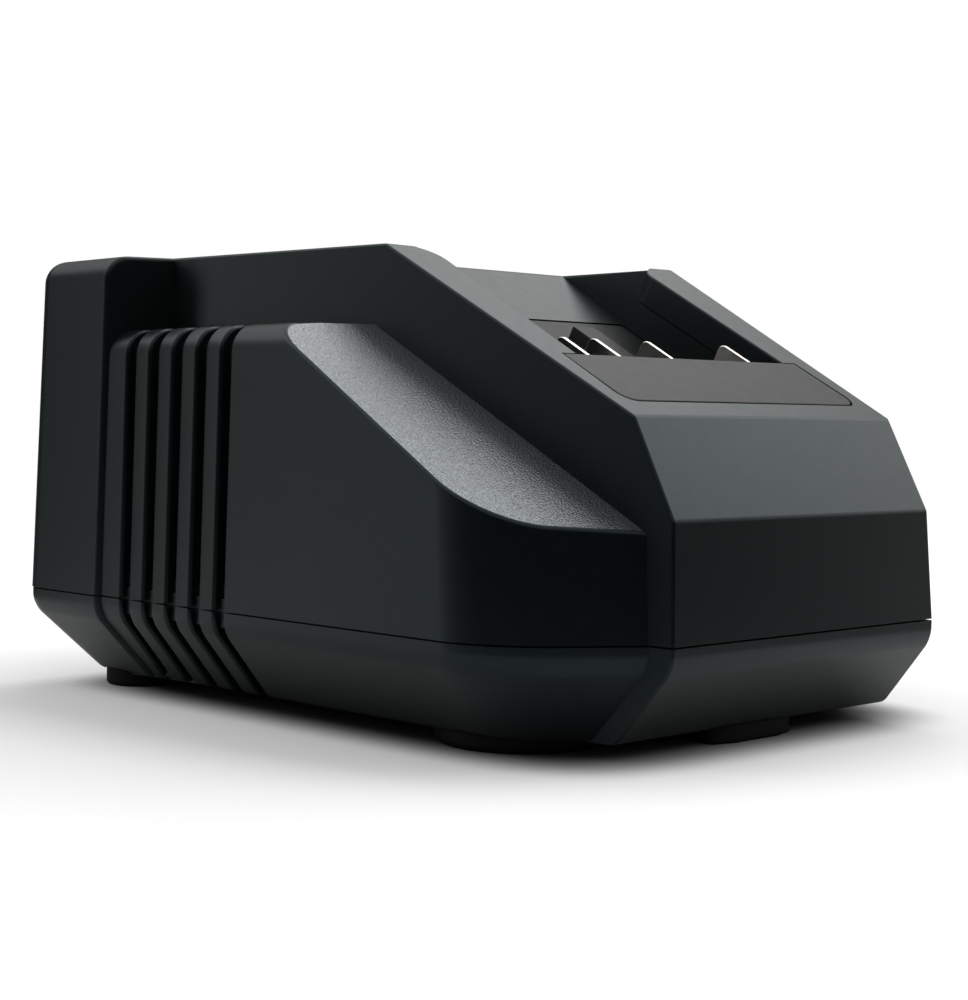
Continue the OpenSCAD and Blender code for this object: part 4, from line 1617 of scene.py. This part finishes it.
@dataclass(frozen=True)
class BasePieces:
    """The rubber feet and the bare plate under the case."""

    case: CaseSizes = field(default_factory=CaseSizes)
    front_rim: float = 1.6
    rear_rim: float = 0.9
    dish_depth: float = 0.35
    dish_share: float = 0.62
    bar_corner: float = 1.2
    bar_rim: float = 0.6
    label_corner: float = 2.0

    def discs(self, name: str, node: str, spot: Triple, rim: float) -> bpy.types.Object:
        """A pair of round feet, each with a shallow dish underneath.

        Args:
            name: the piece's name.
            node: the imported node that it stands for.
            spot: how far each foot is from the middle and the front wall, and its radius.
            rim: how far the round of its lower edge reaches.

        Returns:
            The pair.
        """
        x, y, radius = spot
        height = self.case.base + FOOT_SEAT
        pair = []
        for middle in (-x, x):
            foot = Solid.rod((middle, y, 0), height, radius, 72)
            foot.soften(lambda e: e.at_level(0), rim, 5)
            foot.cut(Solid.rod((middle, y, -1), 1 + self.dish_depth, radius * self.dish_share, 48))
            pair.append(foot)
        return pair[0].join(pair[1]).land(name, "case", "foot_rubber", self.case, node)

    def bar(self) -> bpy.types.Object:
        """The low bar in the middle of the front.

        Returns:
            The piece.
        """
        solid = bar_block(0, self.case.base + FOOT_SEAT, 0)
        solid.soften(lambda e: e.upright and e.turn > SHARP, self.bar_corner, 5)
        solid.soften(lambda e: e.at_level(0), self.bar_rim, 4)
        return solid.land("front_foot_bar", "case", "foot_rubber", self.case, "centre_foot")

    def label(self) -> bpy.types.Object:
        """The bare plate on the underside.

        Returns:
            The piece.
        """
        base = self.case.base
        solid = Solid.block((-LABEL_HALF, LABEL_FROM, base),
                            (LABEL_HALF, LABEL_TO, base + LABEL_THICK))
        solid.soften(lambda e: e.upright, self.label_corner, 6)
        return solid.land("bare_label_plate", "case", "plate_foil", self.case, "rating_plate")

    def build(self) -> list[bpy.types.Object]:
        """All the pieces under the case."""
        return [self.discs("front_foot_pads", "front_feet", FRONT_FOOT, self.front_rim),
                self.discs("rear_foot_pads", "rear_feet", REAR_FOOT, self.rear_rim),
                self.bar(), self.label()]


@dataclass(frozen=True)
class RearPieces:
    """The mains inlet, its pins and the fan's frame."""

    case: CaseSizes = field(default_factory=CaseSizes)
    pin_pitch: float = 8.6
    pin_radius: float = 1.2
    pin_length: float = 18.0
    pin_depth: float = 3.0
    pin_round: float = 0.7
    socket_edge: float = 0.3
    frame_edge: float = 0.15

    def inlet(self) -> bpy.types.Object:
        """The socket, with soft edges.

        Returns:
            The piece.
        """
        solid = Solid.of_node("inlet_socket", self.case)
        solid.soften(lambda e: e.turn > SHARP and e.middle.y > self.case.length - 7,
                     self.socket_edge, 3)
        return solid.land("mains_socket", "case", "contact_plastic", self.case, "inlet_socket")

    def pins(self) -> bpy.types.Object:
        """Two pins with rounded tips.

        Returns:
            The piece.
        """
        tip = self.case.length - self.pin_depth
        pair = []
        for sign in (-1, 1):
            pin = Solid.rod((sign * self.pin_pitch / 2, tip - self.pin_length, INLET_Z),
                            self.pin_length, self.pin_radius, 32, (0, 1, 0))
            pin.soften(lambda e: near(e.start.y, tip) and near(e.end.y, tip), self.pin_round, 5)
            pair.append(pin)
        return pair[0].join(pair[1]).land("socket_pins", "case", "blade_metal", self.case,
                                          "inlet_pins")

    def fan_frame(self) -> bpy.types.Object:
        """The fan's frame, with soft edges.

        Returns:
            The piece.
        """
        solid = Solid.of_node("fan_frame", self.case)
        solid.soften(lambda e: e.turn > SHARP, self.frame_edge, 2)
        return solid.land("fan_housing", "case", "fan_plastic", self.case, "fan_frame")

    def build(self) -> list[bpy.types.Object]:
        """All the rear's pieces."""
        return [self.inlet(), self.pins(), self.fan_frame()]


# ---------------------------------------------------------------- studio and camera

@dataclass(frozen=True)
class Studio:
    """A pale floor with painted shade under the case, a white surround, soft lamps, and cards that
    only the gloss sees, which paint dark reflections and one bright highlight.
    """

    floor_size: float = 12.0
    surround: float = 0.65
    top_power: float = 4.5
    key_power: float = 3.55
    fill_power: float = 3.5
    side_power: float = 2.6
    # Painted shade: the darker floor colour fills a rounded patch under the case, standing in for
    # the case's contact shadow.
    painted_shade_colour: Colour = (0.06, 0.06, 0.06)
    pale_floor: Colour = (0.90, 0.90, 0.90)
    painted_shade_reach: float = 0.060
    painted_shade_fade: float = 0.022
    white_from: float = 0.28
    white_over: float = 0.5
    squareness: float = 6.0
    narrowing: float = 1.4
    card_steps: int = 24

    def floor(self) -> bpy.types.Object:
        """The floor, which fades into the surround, with painted shade in a dark patch under the
        case.

        Returns:
            The floor.
        """
        deselect_all()
        bpy.ops.mesh.primitive_plane_add(size=self.floor_size, location=(0, 0, 0))
        floor = bpy.context.object
        floor.name = "studio_floor"
        graph = Graph("studio_floor_paint")
        tree = graph.tree
        # Painted shade: the floor goes dark in a rounded-box patch under the case. It stands in for
        # the case's contact shadow, which the case's lower walls show in their reflections.
        across, back = (graph.value("ShaderNodeMath", {"operation": "POWER"},
                                    {0: graph.along(axis) * stretch, 1: self.squareness})
                        for axis, stretch in ((0, self.narrowing), (1, 1.0)))
        painted_shade_patch = graph.value("ShaderNodeMath", {"operation": "POWER"},
                                {0: across + back, 1: 1 / self.squareness})
        paint = graph.blend(painted_shade_patch.over(self.painted_shade_reach, self.painted_shade_fade),
                            self.painted_shade_colour, self.pale_floor)
        graph.surface(Base_Color=paint, Roughness=0.9, Specular_IOR_Level=0.0)
        reach = graph.value("ShaderNodeVectorMath", {"operation": "LENGTH"}, {0: graph.place},
                            "Value")
        seen = self._seen(graph)
        glow = graph.add("ShaderNodeEmission", None,
                         {"Color": (1.0, 1.0, 1.0), "Strength": seen * 0.5 + 0.5})
        mix = graph.add("ShaderNodeMixShader", None,
                        {0: reach.over(self.white_from, self.white_over),
                         1: graph.shader.outputs[0],
                         2: glow.outputs[0]})
        tree.links.new(mix.outputs[0], tree.nodes["Material Output"].inputs["Surface"])
        floor.data.materials.append(graph.material)
        return floor

    def _seen(self, graph: Graph) -> Signal:
        """1 for what the camera, a gloss or a clear piece sees.

        Args:
            graph: the material's nodes.

        Returns:
            The share, from 0 to 1.
        """
        path = graph.add("ShaderNodeLightPath").outputs
        either = Signal(graph, path["Is Camera Ray"]) + Signal(graph, path["Is Glossy Ray"])
        return graph.value("ShaderNodeMath", {"operation": "ADD", "use_clamp": True},
                           {0: either, 1: path["Is Transmission Ray"]})

    def sky(self) -> None:
        """White where it is seen, and dim as a light."""
        world = bpy.data.worlds.new("studio_surround")
        world.use_nodes = True
        bpy.context.scene.world = world
        tree = world.node_tree
        path = tree.nodes.new("ShaderNodeLightPath")
        last = path.outputs["Is Camera Ray"]
        for other in ("Is Glossy Ray", "Is Transmission Ray"):
            add = tree.nodes.new("ShaderNodeMath")
            add.operation = "ADD"
            add.use_clamp = True
            tree.links.new(last, add.inputs[0])
            tree.links.new(path.outputs[other], add.inputs[1])
            last = add.outputs[0]
        level = tree.nodes.new("ShaderNodeMapRange")
        tree.links.new(last, level.inputs[0])
        level.inputs[3].default_value = self.surround
        level.inputs[4].default_value = 1.0
        background = tree.nodes["Background"]
        background.inputs["Color"].default_value = (1.0, 1.0, 1.0, 1.0)
        tree.links.new(level.outputs[0], background.inputs["Strength"])

    def lamp(self, name: str, place: Triple, size: tuple[float, float], power: float,
             aim: Triple = (0.0, 0.0, 0.04)) -> None:
        """A soft rectangular lamp aimed at a point.

        Args:
            name: its name.
            place: where it hangs, in metres.
            size: its sides, the level one first.
            power: its power in watts.
            aim: the point that it faces.
        """
        deselect_all()
        bpy.ops.object.light_add(type="AREA", location=place)
        lamp = bpy.context.object
        lamp.name = name
        lamp.data.shape = "RECTANGLE"
        lamp.data.size, lamp.data.size_y = size
        lamp.data.energy = power
        towards = Vector(aim) - Vector(place)
        lamp.rotation_euler = towards.to_track_quat("-Z", "Y").to_euler()
        lamp.visible_camera = False

    def card(self, name: str, from_turn: float, to_turn: float, inner: tuple[float, float],
             outer: tuple[float, float], glow: float = 0.0) -> None:
        """A curved card, lying or standing, black or glowing, that only the gloss sees: a painted
        reflection, which neither lights nor shades anything.

        Args:
            name: its name.
            from_turn: where it starts, in degrees from +Y towards -X.
            to_turn: where it ends.
            inner: the distance and height of its one long edge, in metres.
            outer: the distance and height of the other.
            glow: how bright it is, from 0 to 1.
        """
        deselect_all()
        bpy.ops.mesh.primitive_grid_add(x_subdivisions=self.card_steps, y_subdivisions=1,
                                        size=1.0)
        card = bpy.context.object
        card.name = name
        for spot in card.data.vertices:
            turn = math.radians(from_turn + (to_turn - from_turn) * (spot.co.x + 0.5))
            reach, rise = outer if spot.co.y > 0 else inner
            spot.co = (-math.sin(turn) * reach, math.cos(turn) * reach, rise)
        # Painted reflection: the card's black or glowing colour shows only in glossy reflections.
        graph = Graph(f"{name}_cloth")
        graph.surface(Base_Color=(0.0, 0.0, 0.0), Roughness=1.0, Specular_IOR_Level=0.0,
                      Emission_Color=(1.0, 1.0, 1.0), Emission_Strength=glow)
        card.data.materials.append(graph.material)
        for flag in ("visible_camera", "visible_diffuse", "visible_shadow",
                     "visible_transmission"):
            setattr(card, flag, False)

    def build(self) -> None:
        """Everything round the object."""
        bpy.context.scene.view_settings.view_transform = "Standard"
        self.sky()
        self.floor()
        self.lamp("top_lamp", (0.400, 0.04, 1.081), (1.3, 0.35), self.top_power)
        self.lamp("key_lamp", (0.775, 0.04, 0.842), (1.3, 0.56), self.key_power)
        self.lamp("fill_lamp", (-0.55, 0.75, 0.95), (0.9, 0.9), self.fill_power)
        self.lamp("side_lamp", (0.97, -0.43, 0.56), (0.6, 0.6), self.side_power)
        # Painted reflections: cards that only the gloss sees. The dark ones darken what the gloss
        # shows of the surround and the floor, and one glowing strip paints a highlight.
        self.card("rear_card", -95, 39.5, (1.3, 0.002), (1.3, 0.75), 0.05)
        self.card("rear_floor_card", -95, 36, (0.16, 0.0006), (1.3, 0.0006), 0.10)
        self.card("bright_card", 40, 48, (1.28, 0.002), (1.28, 0.75), 2.6)
        self.card("front_card", 50, 250, (1.3, 0.002), (1.3, 0.75), 0.0)
        self.card("floor_card", 80, 230, (0.15, 0.0006), (1.3, 0.0006), 0.02)


@dataclass(frozen=True)
class Eye:
    """The camera, placed from the photograph's perspective."""

    place: Triple = (-0.2619, -0.2719, 0.0548)
    yaw: float = 0.763
    pitch: float = -0.042
    roll: float = 0.011
    focal: float = 1912.083
    long_side: float = 1000.0
    sensor: float = 36.0

    def build(self) -> None:
        """Makes the camera and gives it to the scene."""
        deselect_all()
        bpy.ops.object.camera_add(location=self.place)
        camera = bpy.context.object
        camera.name = "eye"
        ahead = Vector((math.sin(self.yaw) * math.cos(self.pitch),
                        math.cos(self.yaw) * math.cos(self.pitch), math.sin(self.pitch)))
        level = Vector((math.cos(self.yaw), -math.sin(self.yaw), 0.0))
        upright = level.cross(ahead)
        right = math.cos(self.roll) * level + math.sin(self.roll) * upright
        up = math.cos(self.roll) * upright - math.sin(self.roll) * level
        turn = Matrix((right, up, -ahead)).transposed()
        camera.rotation_euler = turn.to_euler()
        camera.data.sensor_fit = "AUTO"
        camera.data.sensor_width = self.sensor
        camera.data.lens = self.focal / self.long_side * self.sensor
        camera.data.clip_start = 0.01
        bpy.context.scene.camera = camera


# ---------------------------------------------------------------- the whole charger


def main() -> None:
    """Builds the charger around its frame, then the studio."""
    logging.basicConfig(level=logging.INFO, format="%(message)s")
    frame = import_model()
    case = CaseSizes()
    Eye().build()
    dresser = Dresser(frame["record"])

    shells = CaseShells()
    upper, lower = shells.upper(), shells.lower()
    made = DockPieces().build() + BasePieces().build() + RearPieces().build()
    dresser.slope_texture(upper, shells.forms.slopes(), case)
    dresser.wear(lower, FINISHES["case_plastic"].made())
    hidden = {node for piece in [upper, lower, *made] for node in REPLACED[piece.name]}
    for piece in made:
        dresser.wear(piece, FINISHES[SLOTS[piece.name]].made())
    for name, obj in frame["nodes"].items():
        if name not in hidden:
            dresser.node(name, obj)
    Studio().build()


if __name__ == "__main__":
    main()
